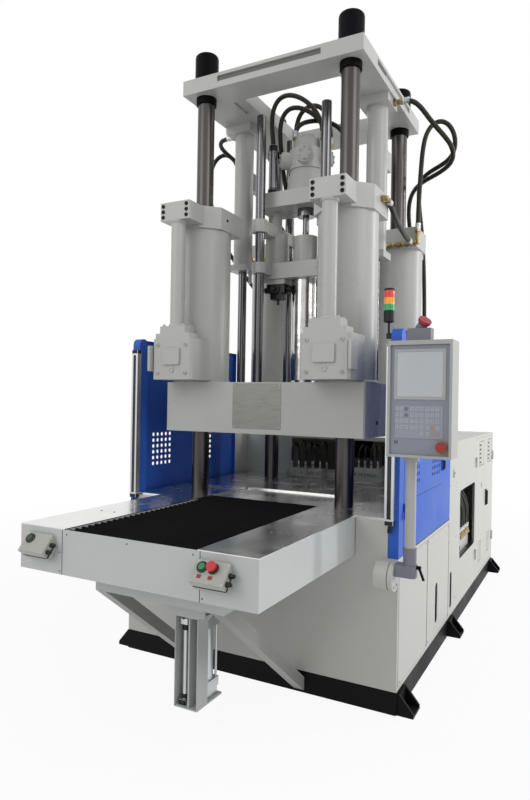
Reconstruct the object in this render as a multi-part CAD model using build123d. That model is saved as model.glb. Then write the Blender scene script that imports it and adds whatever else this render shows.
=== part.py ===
"""Vertical injection moulding machine with four tie bars and a sliding mould table.

Origin on the floor at the centre of the anchor bolt pattern, +Z up, +Y to the rear of the
machine, the operator stands on the -Y side. All sizes are in millimetres. Heights are above
the floor, and back() turns a distance behind the body's front face into a Y value.
"""
from build123d import *
import math
import os

os.makedirs("parts", exist_ok=True)

# Clearances
RUN_FIT = 0.05          # radial, between a shaft and the bore that it runs in
SLIP = 0.3              # between pieces of different bodies, and in loose holes
SEAM = 2.0              # visible gap round a cover or door

# Body and base
BODY_W = 1700.0
BODY_L = 3170.0
CHANNEL_H = 115.0
CHANNEL_W = 90.0
CHANNEL_T = 10.0
SHEET = 4.0
SIDE_H = 775.0          # top of the front housing's side walls, where the doors start
REAR_H = 1290.0         # top of the rear housing
CHEEK_L = 239.0         # side cheeks in front of the rear housing
SHELF_X = 795.0         # half width of the deck between the guards
ANCHOR_OUT = 42.0       # anchor hole outside the body's side
ANCHOR_IN = 75.0        # anchor hole from the body's end
ANCHOR_MID = 1275.0     # middle anchor holes behind the front face
ANCHOR_R = 13.0

# Table and deck
DECK_Z = 973.0
DECK_T = 12.0
PLATEN_BASE_Z = 700.0   # underside of the lower platen
RECESS_Z = 880.0        # floor of the guideway
RECESS_HALF = 352.0
TABLE_HALF = 623.0
TABLE_REACH = 1030.0    # table front in front of the body
TABLE_BOTTOM = 770.0
SUBFRAME_BOTTOM = 655.0
SUBFRAME_REACH = 830.0
BEAM_W = 60.0
RAIL_H = 25.0
MOULD_PLATE_HALF = 345.0
MOULD_PLATE_START = 200.0
MOULD_PLATE_L = 1050.0
RECESS_ROOM = 50.0      # free length of the guideway behind the mould plate
DECK_REST = 159.0       # deck behind the guideway

# Clamp unit
CLAMP_SETBACK = 699.0
TIE_X = 478.0
TIE_Y = 483.0
TIE_R = 52.5
TOP_PLATE_HALF = 585.0
TOP_PLATE_T = 90.0
TOP_PLATE_TOP = 3524.0
CAP_R = 73.0
CAP_TOP = 3704.0
PLATEN_HALF_X = 640.0
PLATEN_HALF_Y = 629.0
PLATEN_Z = 1361.0
PLATEN_T = 296.0
CYL_R = 167.5
CYL_BORE = 150.0
HEAD_Z = 2582.0
HEAD_T = 130.0
HEAD_HALF = 175.0
EAR_HALF = 101.0
EAR_REACH = 138.0
EAR_T = 106.0
PIPE_R = 42.0
PIPE_OUT = 271.0        # transfer pipe from the tie bar, away from the centre
LIFT_R = 65.0
LIFT_BOTTOM = 2481.0
LIFT_ROD_R = 29.0

# Injection unit
GUIDE_X = 226.0
GUIDE_Y = 218.0
GUIDE_R = 31.0
GUIDE_TOP = 3388.0
CARRIAGE_Z = 2351.0
CARRIAGE_T = 101.0
BRIDGE_Z = 2634.0
BRIDGE_T = 81.0
INJECT_X = 209.0
BOSS_R = 79.0
BOSS_TOP = 2664.0
SCREW_HOUSING_R = 78.0
SCREW_HOUSING_TOP = 2633.0
INJECT_ROD_R = 30.0
CROSS_Z = 2818.0
CROSS_T = 99.0
MOTOR_Z = 3063.0
MOTOR_TOP = 3293.0
SHROUD_R = 89.0
NOZZLE_TIP = 1385.0

# Guards and controls
GUARD_TOP = 1925.0
POST_W = 53.0
POST_D = 80.0
DOOR_T = 26.0
CURTAIN_TOP = 1850.0
CURTAIN_BOTTOM = 945.0
POLE_X = 941.0
POLE_REACH = 130.0
POLE_R = 25.0
PANEL_W = 294.0
PANEL_D = 155.0
PANEL_BOTTOM = 1303.0
PANEL_TOP = 1838.0
PANEL_LEFT = 93.0       # panel's left side from the pole
PANEL_AHEAD = 95.0      # panel's front face ahead of the pole
HOSE_R = 15.0

FRONT = -BODY_L / 2
HALF_W = BODY_W / 2


def back(distance):
    """Y of a point that far behind the body's front face."""
    return FRONT + distance


CLAMP_Y = back(CLAMP_SETBACK)
PLATEN_TOP = PLATEN_Z + PLATEN_T
TOP_PLATE_Z = TOP_PLATE_TOP - TOP_PLATE_T
TABLE_FRONT = FRONT - TABLE_REACH
RECESS_END = MOULD_PLATE_START + MOULD_PLATE_L + RECESS_ROOM
REAR_SETBACK = RECESS_END + DECK_REST       # front wall of the rear housing
CHEEK_SETBACK = REAR_SETBACK - CHEEK_L
TIES = [(sx * TIE_X, CLAMP_Y + sy * TIE_Y, sx, sy) for sx in (-1, 1) for sy in (-1, 1)]


def block(x0, x1, y0, y1, z0, z1):
    """A box between two corners."""
    return Pos((x0 + x1) / 2, (y0 + y1) / 2, (z0 + z1) / 2) * Box(x1 - x0, y1 - y0, z1 - z0)


def rod_z(x, y, z0, z1, r):
    return Pos(x, y, (z0 + z1) / 2) * Cylinder(r, z1 - z0)


def rod_y(x, y0, y1, z, r):
    return Pos(x, (y0 + y1) / 2, z) * Rot(90, 0, 0) * Cylinder(r, y1 - y0)


def rod_x(x0, x1, y, z, r):
    return Pos((x0 + x1) / 2, y, z) * Rot(0, 90, 0) * Cylinder(r, x1 - x0)


def ring_z(x, y, z0, z1, outer, inner):
    return rod_z(x, y, z0, z1, outer) - rod_z(x, y, z0 - 1, z1 + 1, inner)


def prism_x(points, x0, x1):
    """An outline given as (y, z) points, carried along X."""
    face = make_face(Polyline(*points, close=True))
    return Pos(x0, 0, 0) * extrude(Plane.YZ * face, x1 - x0)


def prism_y(points, y0, y1):
    """An outline given as (x, z) points, carried along Y."""
    face = make_face(Polyline(*points, close=True))
    return Pos(0, y1, 0) * extrude(Plane.XZ * face, y1 - y0)


def prism_z(points, z0, z1):
    """An outline given as (x, y) points, carried along Z."""
    face = make_face(Polyline(*points, close=True))
    return Pos(0, 0, z0) * extrude(face, z1 - z0)


def slot_x(x0, x1, y, z, width, height):
    """An upright slot with round ends, cut along X."""
    face = Plane.YZ * Pos(y, z) * Rot(0, 0, 90) * SlotOverall(height, width)
    return Pos(x0, 0, 0) * extrude(face, x1 - x0)


def other_side(shape):
    """The same piece on the other side of the machine's centre plane."""
    return mirror(shape, about=Plane.YZ)


def turned_back(shape):
    """The same piece on the other side of the clamp unit, front to rear."""
    return Pos(0, 2 * CLAMP_Y, 0) * mirror(shape, about=Plane.XZ)


def save(node, *shapes):
    """Write the solids of one sub-part."""
    solids = [solid for shape in shapes for solid in shape.solids()]
    export_step(solids[0] if len(solids) == 1 else Compound(solids), f"parts/{node}.step")


def make_base_frame():
    """Rectangular frame of channels lying on the floor, with six anchor brackets."""
    inner = HALF_W - CHANNEL_W
    rib = back(REAR_SETBACK)
    frame = block(-HALF_W, HALF_W, FRONT, -FRONT, 0, CHANNEL_H)
    for y0, y1 in ((FRONT + CHANNEL_W, rib - CHANNEL_W), (rib + CHANNEL_W, -FRONT - CHANNEL_W)):
        frame -= block(-inner, inner, y0, y1, -1, CHANNEL_H + 1)
        reach = CHANNEL_W - CHANNEL_T
        frame -= block(-inner - reach, inner + reach, y0 - reach, y1 + reach,
                       CHANNEL_T, CHANNEL_H - CHANNEL_T)
    plate_t = 14.0
    long = 130.0
    out = 2 * ANCHOR_OUT
    brackets = []
    for y in (FRONT + ANCHOR_IN, back(ANCHOR_MID), -FRONT - ANCHOR_IN):
        foot = block(HALF_W, HALF_W + out, y - long / 2, y + long / 2, 0, plate_t)
        foot += block(HALF_W, HALF_W + plate_t, y - long / 2, y + long / 2, 0, CHANNEL_H - CHANNEL_T)
        for end in (y - long / 2, y + long / 2 - plate_t):
            gusset = [(HALF_W, 0), (HALF_W + out, 0), (HALF_W + out, plate_t * 1.5),
                      (HALF_W + plate_t, CHANNEL_H - CHANNEL_T), (HALF_W, CHANNEL_H - CHANNEL_T)]
            foot += prism_y(gusset, end, end + plate_t)
        foot -= rod_z(HALF_W + ANCHOR_OUT, y, -1, plate_t + 1, ANCHOR_R)
        brackets += [foot, other_side(foot)]
    save("base_frame", frame, *brackets)


PRESS_HALF = 590.0
PRESS_START = 60.0
PRESS_END = RECESS_END + 100.0
PRESS_WALL = 30.0
PRESS_WINDOW = 340.0
PRESS_WINDOW_IN = 210.0     # from the stand's end to its nearer window


def make_press_frame():
    """Welded stand of thick plates that carries the lower platen, with windows in its long sides."""
    wall = PRESS_WALL
    y0 = back(PRESS_START)
    y1 = back(PRESS_END)
    plates = []
    # End plates, each on a foot that reaches over the base channels
    for y in (y0, y1 - wall):
        plates.append(block(-PRESS_HALF, PRESS_HALF, y, y + wall, CHANNEL_H + wall, PLATEN_BASE_Z))
        plates.append(block(-HALF_W + CHANNEL_W / 2, HALF_W - CHANNEL_W / 2, y, y + wall,
                            CHANNEL_H, CHANNEL_H + wall))
    low = (CHANNEL_H + PLATEN_BASE_Z - PRESS_WINDOW) / 2
    high = low + PRESS_WINDOW
    first = y0 + PRESS_WINDOW_IN
    second = y1 - PRESS_WINDOW_IN - PRESS_WINDOW
    x0 = PRESS_HALF - wall
    for z0, z1 in ((CHANNEL_H, low), (high, PLATEN_BASE_Z)):
        rail = block(x0, PRESS_HALF, y0 + wall, y1 - wall, z0, z1)
        plates += [rail, other_side(rail)]
    for a, b in ((y0 + wall, first), (first + PRESS_WINDOW, second), (second + PRESS_WINDOW, y1 - wall)):
        upright = block(x0, PRESS_HALF, a, b, low, high)
        plates += [upright, other_side(upright)]
    save("press_frame", *plates)


def make_lower_platen():
    """Thick plate that holds the tie bars, with the guideway of the mould table in its top."""
    top = DECK_Z - DECK_T
    outer = PRESS_HALF + 10
    outline = [(-outer, PLATEN_BASE_Z), (outer, PLATEN_BASE_Z), (outer, top), (-outer, top)]
    platen = prism_y(outline, back(PRESS_START), back(PRESS_END))
    platen -= block(-RECESS_HALF, RECESS_HALF, back(PRESS_START) - 1, back(RECESS_END),
                    RECESS_Z, top + 1)
    for x, y, sx, sy in TIES:
        platen -= rod_z(x, y, PLATEN_BASE_Z - 1, top + 1, TIE_R + SLIP)
    save("lower_platen", platen)


PANEL_Z0 = CHANNEL_H + 20
PANEL_Z1 = SIDE_H - 20
HAND_HOLE_W = 60.0
HAND_HOLE_H = 246.0


def side_cover(y0, y1, holes):
    """A removable cover lying in the rebate of the right wall."""
    cover = block(HALF_W - SHEET, HALF_W, y0 + SEAM, y1 - SEAM, PANEL_Z0 + SEAM, PANEL_Z1 - SEAM)
    for y, z in holes:
        cover -= slot_x(HALF_W - 10, HALF_W + 10, y, z, HAND_HOLE_W, HAND_HOLE_H)
    return cover


def make_front_housing():
    """Sheet housing round the press stand, with a shelf for the guards and four loose covers."""
    top = DECK_Z - DECK_T
    wall = 2 * SHEET
    y1 = back(CHEEK_SETBACK)
    side = block(HALF_W - wall, HALF_W, FRONT, y1, CHANNEL_H, SIDE_H - SHEET)
    shelf = block(SHELF_X - SHEET, HALF_W, FRONT, y1, SIDE_H - SHEET, SIDE_H)
    guard = block(SHELF_X - SHEET, SHELF_X, FRONT, y1, SIDE_H, top)
    covers = []
    middle = (30.0 + CHEEK_SETBACK - 15) / 2
    for y0, y1, holes in ((30.0, middle - 7.5, []), (middle + 7.5, CHEEK_SETBACK - 15, [(860.0, 322.0)])):
        side -= block(HALF_W - SHEET, HALF_W + 1, back(y0), back(y1), PANEL_Z0, PANEL_Z1)
        lip = 16.0
        side -= block(HALF_W - wall - 1, HALF_W, back(y0) + lip, back(y1) - lip,
                      PANEL_Z0 + lip, PANEL_Z1 - lip)
        covers.append(side_cover(back(y0), back(y1), [(back(y), z) for y, z in holes]))
    edge = HALF_W - wall
    face = block(-edge, edge, FRONT, FRONT + SHEET, CHANNEL_H, SIDE_H - SHEET)
    inner = SHELF_X - SHEET
    face += block(-inner, inner, FRONT, FRONT + SHEET, SIDE_H - SHEET, top)
    room = SEAM
    face -= block(-TABLE_HALF - room, TABLE_HALF + room, FRONT - 1, FRONT + SHEET + 1,
                  TABLE_BOTTOM - room, top + 1)
    face -= block(-RECESS_HALF - room, RECESS_HALF + room, FRONT - 1, FRONT + SHEET + 1,
                  SUBFRAME_BOTTOM - room, TABLE_BOTTOM)
    pieces = [side, shelf, guard, *covers]
    save("front_housing", face, *pieces, *[other_side(piece) for piece in pieces])


HOSE_OPEN = (1590.0, 2215.0, 430.0, 925.0)      # y0, y1 behind the front face, z0, z1
CIRCUIT_OPEN = (440.0, 1000.0, 1262.0)          # half width, z0, z1
CHEEK_HOLE = 76.0                               # hand hole behind the cheek's front edge
LEAF_A = (2240.0, 2720.0)
LEAF_B = (2720.0, 3130.0)
LEAF_Z = (135.0, 1270.0)


HINGE_OUT = 8.0
HINGE_R = 7.5
HINGE_PIN_R = 4.5
HINGE_L = 40.0
HINGE_LEAF = 32.0
DOOR_HINGES = (1000.0, 1740.0)
CABINET_HINGES = (330.0, 1080.0)


def fixed_hinge(y, z, way):
    """Lower half of a lift-off hinge, with its pin, on the right wall; way points to the door."""
    x = HALF_W + HINGE_OUT
    y0, y1 = sorted((y - way * HINGE_LEAF, y - way * 4.5))
    half = rod_z(x, y, z - HINGE_L, z, HINGE_R)
    half += block(HALF_W, HALF_W + 4, y0, y1, z - HINGE_L, z)
    y0, y1 = sorted((y - way * 4.5, y))
    half += block(HALF_W + 0.8, HALF_W + 4, y0, y1, z - HINGE_L, z)
    return half + rod_z(x, y, z, z + HINGE_L - 2, HINGE_PIN_R)


def door_knuckle(y, z, way):
    """Upper half of the hinge, on the door's skin, with its bore."""
    y0, y1 = sorted((y + way * 0.5, y + way * HINGE_LEAF))
    half = rod_z(HALF_W + HINGE_OUT, y, z + SLIP, z + HINGE_L, HINGE_R)
    half += block(HALF_W, HALF_W + 4, y0, y1, z + SLIP, z + HINGE_L)
    return half - rod_z(HALF_W + HINGE_OUT, y, z - 1, z + HINGE_L + 1, HINGE_PIN_R + RUN_FIT)


def pan(x0, skin, y0, y1, z0, z1, sheet):
    """A folded sheet door as its skin, whose outer face is given, and its four rims behind it."""
    back_face = skin - sheet
    front = block(back_face, skin, y0, y1, z0, z1)
    rims = [block(x0, back_face, y0, y1, z0, z0 + sheet), block(x0, back_face, y0, y1, z1 - sheet, z1),
            block(x0, back_face, y0, y0 + sheet, z0 + sheet, z1 - sheet),
            block(x0, back_face, y1 - sheet, y1, z0 + sheet, z1 - sheet)]
    return front, rims


def make_rear_housing():
    """Sheet walls of the hydraulics and electrics, open below and at the cabinet doors."""
    rear = -FRONT
    y0 = back(REAR_SETBACK)
    inner = HALF_W - SHEET
    under = REAR_H - SHEET
    roof = block(-HALF_W, HALF_W, y0, rear, under, REAR_H)
    front = block(-inner, inner, y0, y0 + SHEET, CHANNEL_H, under)
    front -= block(-CIRCUIT_OPEN[0], CIRCUIT_OPEN[0], y0 - 1, y0 + SHEET + 1, *CIRCUIT_OPEN[1:])
    left = block(-HALF_W, -inner, y0, rear, CHANNEL_H, under)
    right = block(inner, HALF_W, y0, rear, CHANNEL_H, under)
    d0, d1, z0, z1 = HOSE_OPEN
    window = Plane.YZ * Pos((back(d0) + back(d1)) / 2, (z0 + z1) / 2) * RectangleRounded(d1 - d0, z1 - z0, 30)
    right -= Pos(HALF_W - 20, 0, 0) * extrude(window, 40)
    right -= block(HALF_W - 20, HALF_W + 1, back(LEAF_A[0]), back(LEAF_B[1]), *LEAF_Z)
    end = block(-inner, inner, rear - SHEET, rear, CHANNEL_H, under)
    # Two bundles of ventilation slots in the rear wall
    for x in (-450.0, 450.0):
        for step in range(6):
            z = 980.0 + 36.0 * step
            end -= block(x - 120, x + 120, rear - 10, rear + 1, z, z + 12)
    cheek = block(inner, HALF_W, back(CHEEK_SETBACK) + SEAM, y0, CHANNEL_H, REAR_H)
    cheek -= slot_x(HALF_W - 10, HALF_W + 10, back(CHEEK_SETBACK + CHEEK_HOLE), 288, HAND_HOLE_W, HAND_HOLE_H)
    hinges = []
    for z in CABINET_HINGES:
        hinges += [fixed_hinge(back(LEAF_A[0]), z, 1), fixed_hinge(back(LEAF_B[1]), z, -1)]
    save("rear_housing", roof, front, left, right, end, cheek, other_side(cheek), *hinges)


LEAF_DEPTH = 22.0


def cabinet_leaf(y0, y1, axis_y, way):
    """Pan-shaped door leaf with a folded rim, a vent recess above and a vent slot below."""
    z0 = LEAF_Z[0] + SEAM
    z1 = LEAF_Z[1] - SEAM
    leaf, rims = pan(HALF_W - LEAF_DEPTH, HALF_W, y0, y1, z0, z1, SHEET)
    middle = (y0 + y1) / 2
    leaf -= block(HALF_W - 1.5, HALF_W + 1, middle - 55, middle + 55, 1035, 1235)
    for step in range(5):
        z = 1055.0 + 36.0 * step
        leaf -= block(HALF_W - 10, HALF_W + 1, middle - 42, middle + 42, z, z + 12)
    leaf -= slot_x(HALF_W - 10, HALF_W + 10, middle, 305, 16, 140)
    return [leaf, *rims, *[door_knuckle(axis_y, z, way) for z in CABINET_HINGES]]


def make_cabinet_doors():
    """Two door leaves of the electrical cabinet, with a swing handle on the rear one."""
    first = back(LEAF_A[0])
    save("cabinet_door_front", *cabinet_leaf(first + SEAM, back(LEAF_A[1]) - SEAM / 2, first, 1))
    start = back(LEAF_B[0])
    end = back(LEAF_B[1])
    plate = block(HALF_W, HALF_W + 8, start + 30, start + 62, 660, 800)
    grip = block(HALF_W + 8, HALF_W + 20, start + 36, start + 56, 668, 790)
    save("cabinet_door_rear", *cabinet_leaf(start + SEAM / 2, end - SEAM, end, -1), plate, grip)


TANK_TOP = 390.0
TANK_SHEET = 6.0


def make_pump_unit():
    """Welded oil tank on the base channels, with the pump and its motor standing on it."""
    y0 = back(REAR_SETBACK + 81)
    y1 = -FRONT - 110
    half = HALF_W - 50
    t = TANK_SHEET
    z0 = CHANNEL_H
    z1 = TANK_TOP
    tank = [block(-half, half, y0, y1, z0, z0 + t), block(-half, half, y0, y1, z1 - t, z1),
            block(-half, half, y0, y0 + t, z0 + t, z1 - t), block(-half, half, y1 - t, y1, z0 + t, z1 - t),
            block(-half, -half + t, y0 + t, y1 - t, z0 + t, z1 - t),
            block(half - t, half, y0 + t, y1 - t, z0 + t, z1 - t)]
    axis_z = TANK_TOP + 190.0
    motor = rod_y(0, back(2350), back(2850), axis_z, 150)
    fan = rod_y(0, back(2850), back(2900), axis_z, 120)
    pump = rod_y(0, back(2180), back(2350), axis_z, 85)
    feet = []
    for y in (back(2420), back(2720)):
        for x0, x1 in ((-140, -70), (70, 140)):
            feet.append(block(x0, x1, y, y + 60, TANK_TOP, axis_z) - motor)
    save("pump_unit", *tank, motor, fan, pump, *feet)


MANIFOLD_X = 700.0
MANIFOLD_TOP = 530.0
PUMP_HOSES = 4
PUMP_HOSE_R = 17.0


def pump_hose_places():
    """Y of each hose that stands on the pump manifold."""
    return [back(1720 + 110 * i) for i in range(PUMP_HOSES)]


PORT_BLOCKS = ((-431.0, -258.0, 58.0, 3), (-250.0, -135.0, 62.0, 2), (125.0, 318.0, 92.0, 4))
NIPPLE_R = 9.0
NIPPLE_L = 24.0
BLOCK_IN = 52.0         # port blocks behind the end of the guideway
BLOCK_D = 84.0
HEADER_TOP = 1020.0
HEADER_H = 80.0
HEADER_D = 97.0
HEADER_Y = back(REAR_SETBACK) + 65
CIRCUIT_HOSE_R = 7.0


def circuit_places():
    """X and height of each nipple on the port blocks of the deck."""
    places = []
    for x0, x1, height, ports in PORT_BLOCKS:
        pitch = (x1 - x0) / ports
        places += [(x0 + pitch * (i + 0.5), DECK_Z + height) for i in range(ports)]
    return places


def make_hose_manifold():
    """Valve manifold on the tank, the distributor above it, and the header of the mould circuits."""
    lower = block(MANIFOLD_X - 70, MANIFOLD_X + 70, back(1640), back(2160), TANK_TOP, MANIFOLD_TOP)
    lower = fillet(lower.edges().filter_by(Axis.Z), 12)
    lower += rod_x(MANIFOLD_X + 70, MANIFOLD_X + 100, back(1760), 470, 26)
    for y in pump_hose_places():
        lower += rod_z(MANIFOLD_X, y, MANIFOLD_TOP, MANIFOLD_TOP + 45, 22)
    upper = block(MANIFOLD_X - 150, MANIFOLD_X + 20, back(REAR_SETBACK) + SHEET, back(2260), 1060, 1150)
    for y in pump_hose_places():
        upper += rod_z(MANIFOLD_X - 70, y + 60, 1015, 1060, 22)
    wall = back(REAR_SETBACK) + SHEET
    half = CIRCUIT_OPEN[0]
    header = block(-half, half, wall, wall + HEADER_D, HEADER_TOP - HEADER_H, HEADER_TOP)
    nipples = [rod_z(x, HEADER_Y, HEADER_TOP, HEADER_TOP + NIPPLE_L, NIPPLE_R) for x, z in circuit_places()]
    save("hose_manifold", lower, upper, header, *nipples)


def tube(points, r, label):
    """A round tube through straight runs joined by tangent arcs; prints its bend radii."""
    corners = [Vector(*p) for p in points]
    runs = [(corners[i + 1] - corners[i]).length for i in range(len(corners) - 1)]
    radii = []
    for i in range(1, len(corners) - 1):
        turn = math.radians((corners[i] - corners[i - 1]).get_angle(corners[i + 1] - corners[i]))
        radii.append(0.45 * min(runs[i - 1], runs[i]) / math.tan(turn / 2))
    path = FilletPolyline(*corners, radius=radii)
    solid = sweep(Plane(path @ 0, z_dir=path % 0) * Circle(r), path=path)
    ratio = solid.volume / (math.pi * r * r * path.length)
    print(label, "length", round(path.length), "radii", [round(v) for v in radii],
          "volume ratio", round(ratio, 4))
    return solid


def make_pump_hoses():
    """Four hoses of the pump manifold, and the small hoses of the mould's circuits."""
    hoses = []
    for y in pump_hose_places():
        x = MANIFOLD_X
        points = [(x, y, MANIFOLD_TOP + 45), (x, y, 655), (x + 18, y + 8, 750), (x + 6, y + 30, 840),
                  (x - 34, y + 50, 905), (x - 70, y + 60, 960), (x - 70, y + 60, 1015)]
        hoses.append(tube(points, PUMP_HOSE_R, "pump hose"))
    y0 = back(RECESS_END + BLOCK_IN + BLOCK_D / 2)
    y1 = HEADER_Y
    for i, (x, z) in enumerate(circuit_places()):
        crest = (1215.0, 1237.0, 1226.0)[i % 3]
        lean = x + (-7.0, 5.0, 8.0)[i % 3]
        points = [(x, y0, z + NIPPLE_L), (x, y0, crest - 38), (lean, y0 + 38, crest),
                  (lean, y1 - 38, crest), (x, y1, crest - 38), (x, y1, HEADER_TOP + NIPPLE_L)]
        hoses.append(tube(points, CIRCUIT_HOSE_R, "circuit hose"))
    save("pump_hoses", *hoses)


def make_deck_plates():
    """Polished plates of the deck and the strips on the table's sides."""
    plates = []
    side = block(RECESS_HALF, SHELF_X, FRONT, back(REAR_SETBACK), DECK_Z - DECK_T, DECK_Z)
    for x, y, sx, sy in TIES:
        side -= rod_z(x, y, DECK_Z - DECK_T - 1, DECK_Z + 1, TIE_R + 1)
    plates += [side, other_side(side)]
    plates.append(block(-RECESS_HALF, RECESS_HALF, back(RECESS_END), back(REAR_SETBACK),
                        DECK_Z - DECK_T, DECK_Z))
    strip = block(RECESS_HALF, TABLE_HALF, TABLE_FRONT, FRONT, DECK_Z - SHEET, DECK_Z)
    plates += [strip, other_side(strip)]
    save("deck_plates", *plates)


SOCKET_R = 16.0
SOCKET_BORE = 11.0
SOCKET_L = 24.0


def make_deck_manifolds():
    """Three ported blocks for the mould's circuits at the rear of the deck, with socket rings."""
    blocks = []
    y0 = back(RECESS_END + BLOCK_IN)
    y1 = y0 + BLOCK_D
    for x0, x1, height, ports in PORT_BLOCKS:
        body = block(x0, x1, y0, y1, DECK_Z, DECK_Z + height)
        blocks.append(chamfer(body.edges().filter_by(Axis.Z), 6))
    for x, z in circuit_places():
        height = (z + DECK_Z) / 2
        socket = rod_y(x, y0 - SOCKET_L, y0, height, SOCKET_R)
        socket -= rod_y(x, y0 - SOCKET_L - 1, y0 - 4, height, SOCKET_BORE)
        blocks += [socket, rod_z(x, (y0 + y1) / 2, z, z + NIPPLE_L, NIPPLE_R)]
    save("deck_manifolds", *blocks)


EJECT_Y = 440.0         # ejector in front of the body


def make_table_frame():
    """Welded beams that carry the table in front of the body, with a stepped frame below."""
    inner = RECESS_HALF - BEAM_W
    far = TABLE_FRONT + 10
    members = []
    sub = FRONT - SUBFRAME_REACH
    row = [block(inner, RECESS_HALF, far, back(PRESS_START), TABLE_BOTTOM, RECESS_Z),
           block(inner, RECESS_HALF, sub, FRONT, SUBFRAME_BOTTOM, TABLE_BOTTOM)]
    for y in (TABLE_FRONT + 90, (TABLE_FRONT + FRONT) / 2, FRONT - 100):
        row.append(block(RECESS_HALF, TABLE_HALF - SHEET, y, y + 40, TABLE_BOTTOM + SHEET, TABLE_BOTTOM + 34))
    for member in row:
        members += [member, other_side(member)]
    members.append(block(-inner, inner, far, far + 20, TABLE_BOTTOM, RECESS_Z))
    top = block(-inner, inner, far + 20, back(PRESS_START), RECESS_Z - 6, RECESS_Z)
    members.append(top - rod_z(0, FRONT - EJECT_Y, RECESS_Z - 10, RECESS_Z + 1, 60))
    for y in (sub, FRONT - EJECT_Y - 165, FRONT - EJECT_Y + 105, FRONT - BEAM_W):
        members.append(block(-inner, inner, y, y + BEAM_W, SUBFRAME_BOTTOM, SUBFRAME_BOTTOM + 90))
    save("table_frame", *members)


def make_table_covers():
    """White sheet boxes on both sides of the table and the loose cover across its front."""
    low = TABLE_BOTTOM
    high = DECK_Z - SHEET
    y0 = TABLE_FRONT + SHEET
    seam = RECESS_HALF + 12
    row = [block(RECESS_HALF, TABLE_HALF, y0, FRONT, high - SHEET, high),
           block(RECESS_HALF, RECESS_HALF + SHEET, y0, FRONT, RECESS_Z, high - SHEET),
           block(TABLE_HALF - SHEET, TABLE_HALF, y0, FRONT, low + SHEET, high - SHEET),
           block(RECESS_HALF, TABLE_HALF, y0, FRONT, low, low + SHEET),
           block(seam + SEAM / 2, TABLE_HALF, TABLE_FRONT, y0, low, high)]
    front = block(-seam + SEAM / 2, seam - SEAM / 2, TABLE_FRONT, y0, low, high)
    save("table_covers", *row, *[other_side(sheet) for sheet in row], front)


def make_slide_rails():
    """Two hardened rails along the table and the guideway."""
    rail = block(225, 275, TABLE_FRONT + 30, back(RECESS_END - 10), RECESS_Z, RECESS_Z + RAIL_H)
    rail = chamfer(rail.edges().filter_by(Axis.Y).group_by(Axis.Z)[-1], 3)
    save("slide_rails", rail, other_side(rail))


BELLOWS_PLEATS = 30


def make_bellows():
    """Pleated cover between the table's front and the mould plate."""
    y0 = TABLE_FRONT + SHEET + 1
    y1 = back(MOULD_PLATE_START) - SLIP
    low = RECESS_Z + RAIL_H + 8
    high = DECK_Z - 6
    thick = 10.0
    pitch = (y1 - y0) / BELLOWS_PLEATS
    ridge = [(y0, low + thick)]
    valley = [(y1, low)]
    for i in range(BELLOWS_PLEATS):
        ridge += [(y0 + pitch * (i + 0.5), high), (y0 + pitch * (i + 1), low + thick)]
        valley += [(y1 - pitch * (i + 0.5), high - thick), (y1 - pitch * (i + 1), low)]
    half = MOULD_PLATE_HALF
    save("bellows", prism_x(ridge + valley, -half, half))


def make_mould_plate():
    """Sliding plate that carries the mould, with rows of fixing slots in its polished top."""
    y0 = back(MOULD_PLATE_START)
    y1 = y0 + MOULD_PLATE_L
    half = MOULD_PLATE_HALF
    plate = block(-half, half, y0, y1, RECESS_Z + RAIL_H + SLIP, DECK_Z)
    plate -= block(-half - 1, half + 1, y0 - 1, y0 + 385, DECK_Z - 10, DECK_Z + 1)
    for row, y in enumerate((y0 + 470, y0 + 640, y0 + 810, y0 + 960)):
        for x in (-240.0, -80.0, 80.0, 240.0):
            slot = Pos(x, y, DECK_Z - 22) * extrude(SlotOverall(70, 18), 30)
            plate -= slot
    for x in (-150.0, 150.0):
        for y in (y0 + 500, y0 + 900):
            plate -= rod_z(x, y, DECK_Z - 35, DECK_Z + 1, 8)
    save("mould_plate", plate)


def make_table_braces():
    """Two square tubes from the table's lower frame down to the base channel."""
    low = 12.0
    fall = (SUBFRAME_BOTTOM - low) / SUBFRAME_REACH
    run = 92.0
    wall = 5.0
    outer = [(FRONT - SUBFRAME_REACH, SUBFRAME_BOTTOM), (FRONT - SUBFRAME_REACH + run, SUBFRAME_BOTTOM),
             (FRONT, low + run * fall), (FRONT, low)]
    shift = wall / math.sin(math.atan(fall))
    drop = wall / math.cos(math.atan(fall))
    inner = [(FRONT - SUBFRAME_REACH + shift, SUBFRAME_BOTTOM + 1),
             (FRONT - SUBFRAME_REACH + run - shift, SUBFRAME_BOTTOM + 1),
             (FRONT + 1, low + run * fall - drop), (FRONT + 1, low + drop)]
    x0 = RECESS_HALF - BEAM_W
    brace = prism_x(outer, x0, RECESS_HALF) - prism_x(inner, x0 + wall, RECESS_HALF - wall)
    save("table_braces", brace, other_side(brace))


EJECT_BOTTOM = 80.0
EJECT_HANG = 520.0
EJECT_CYL = (130.0, 480.0)
EJECT_ROD_R = 20.0


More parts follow.
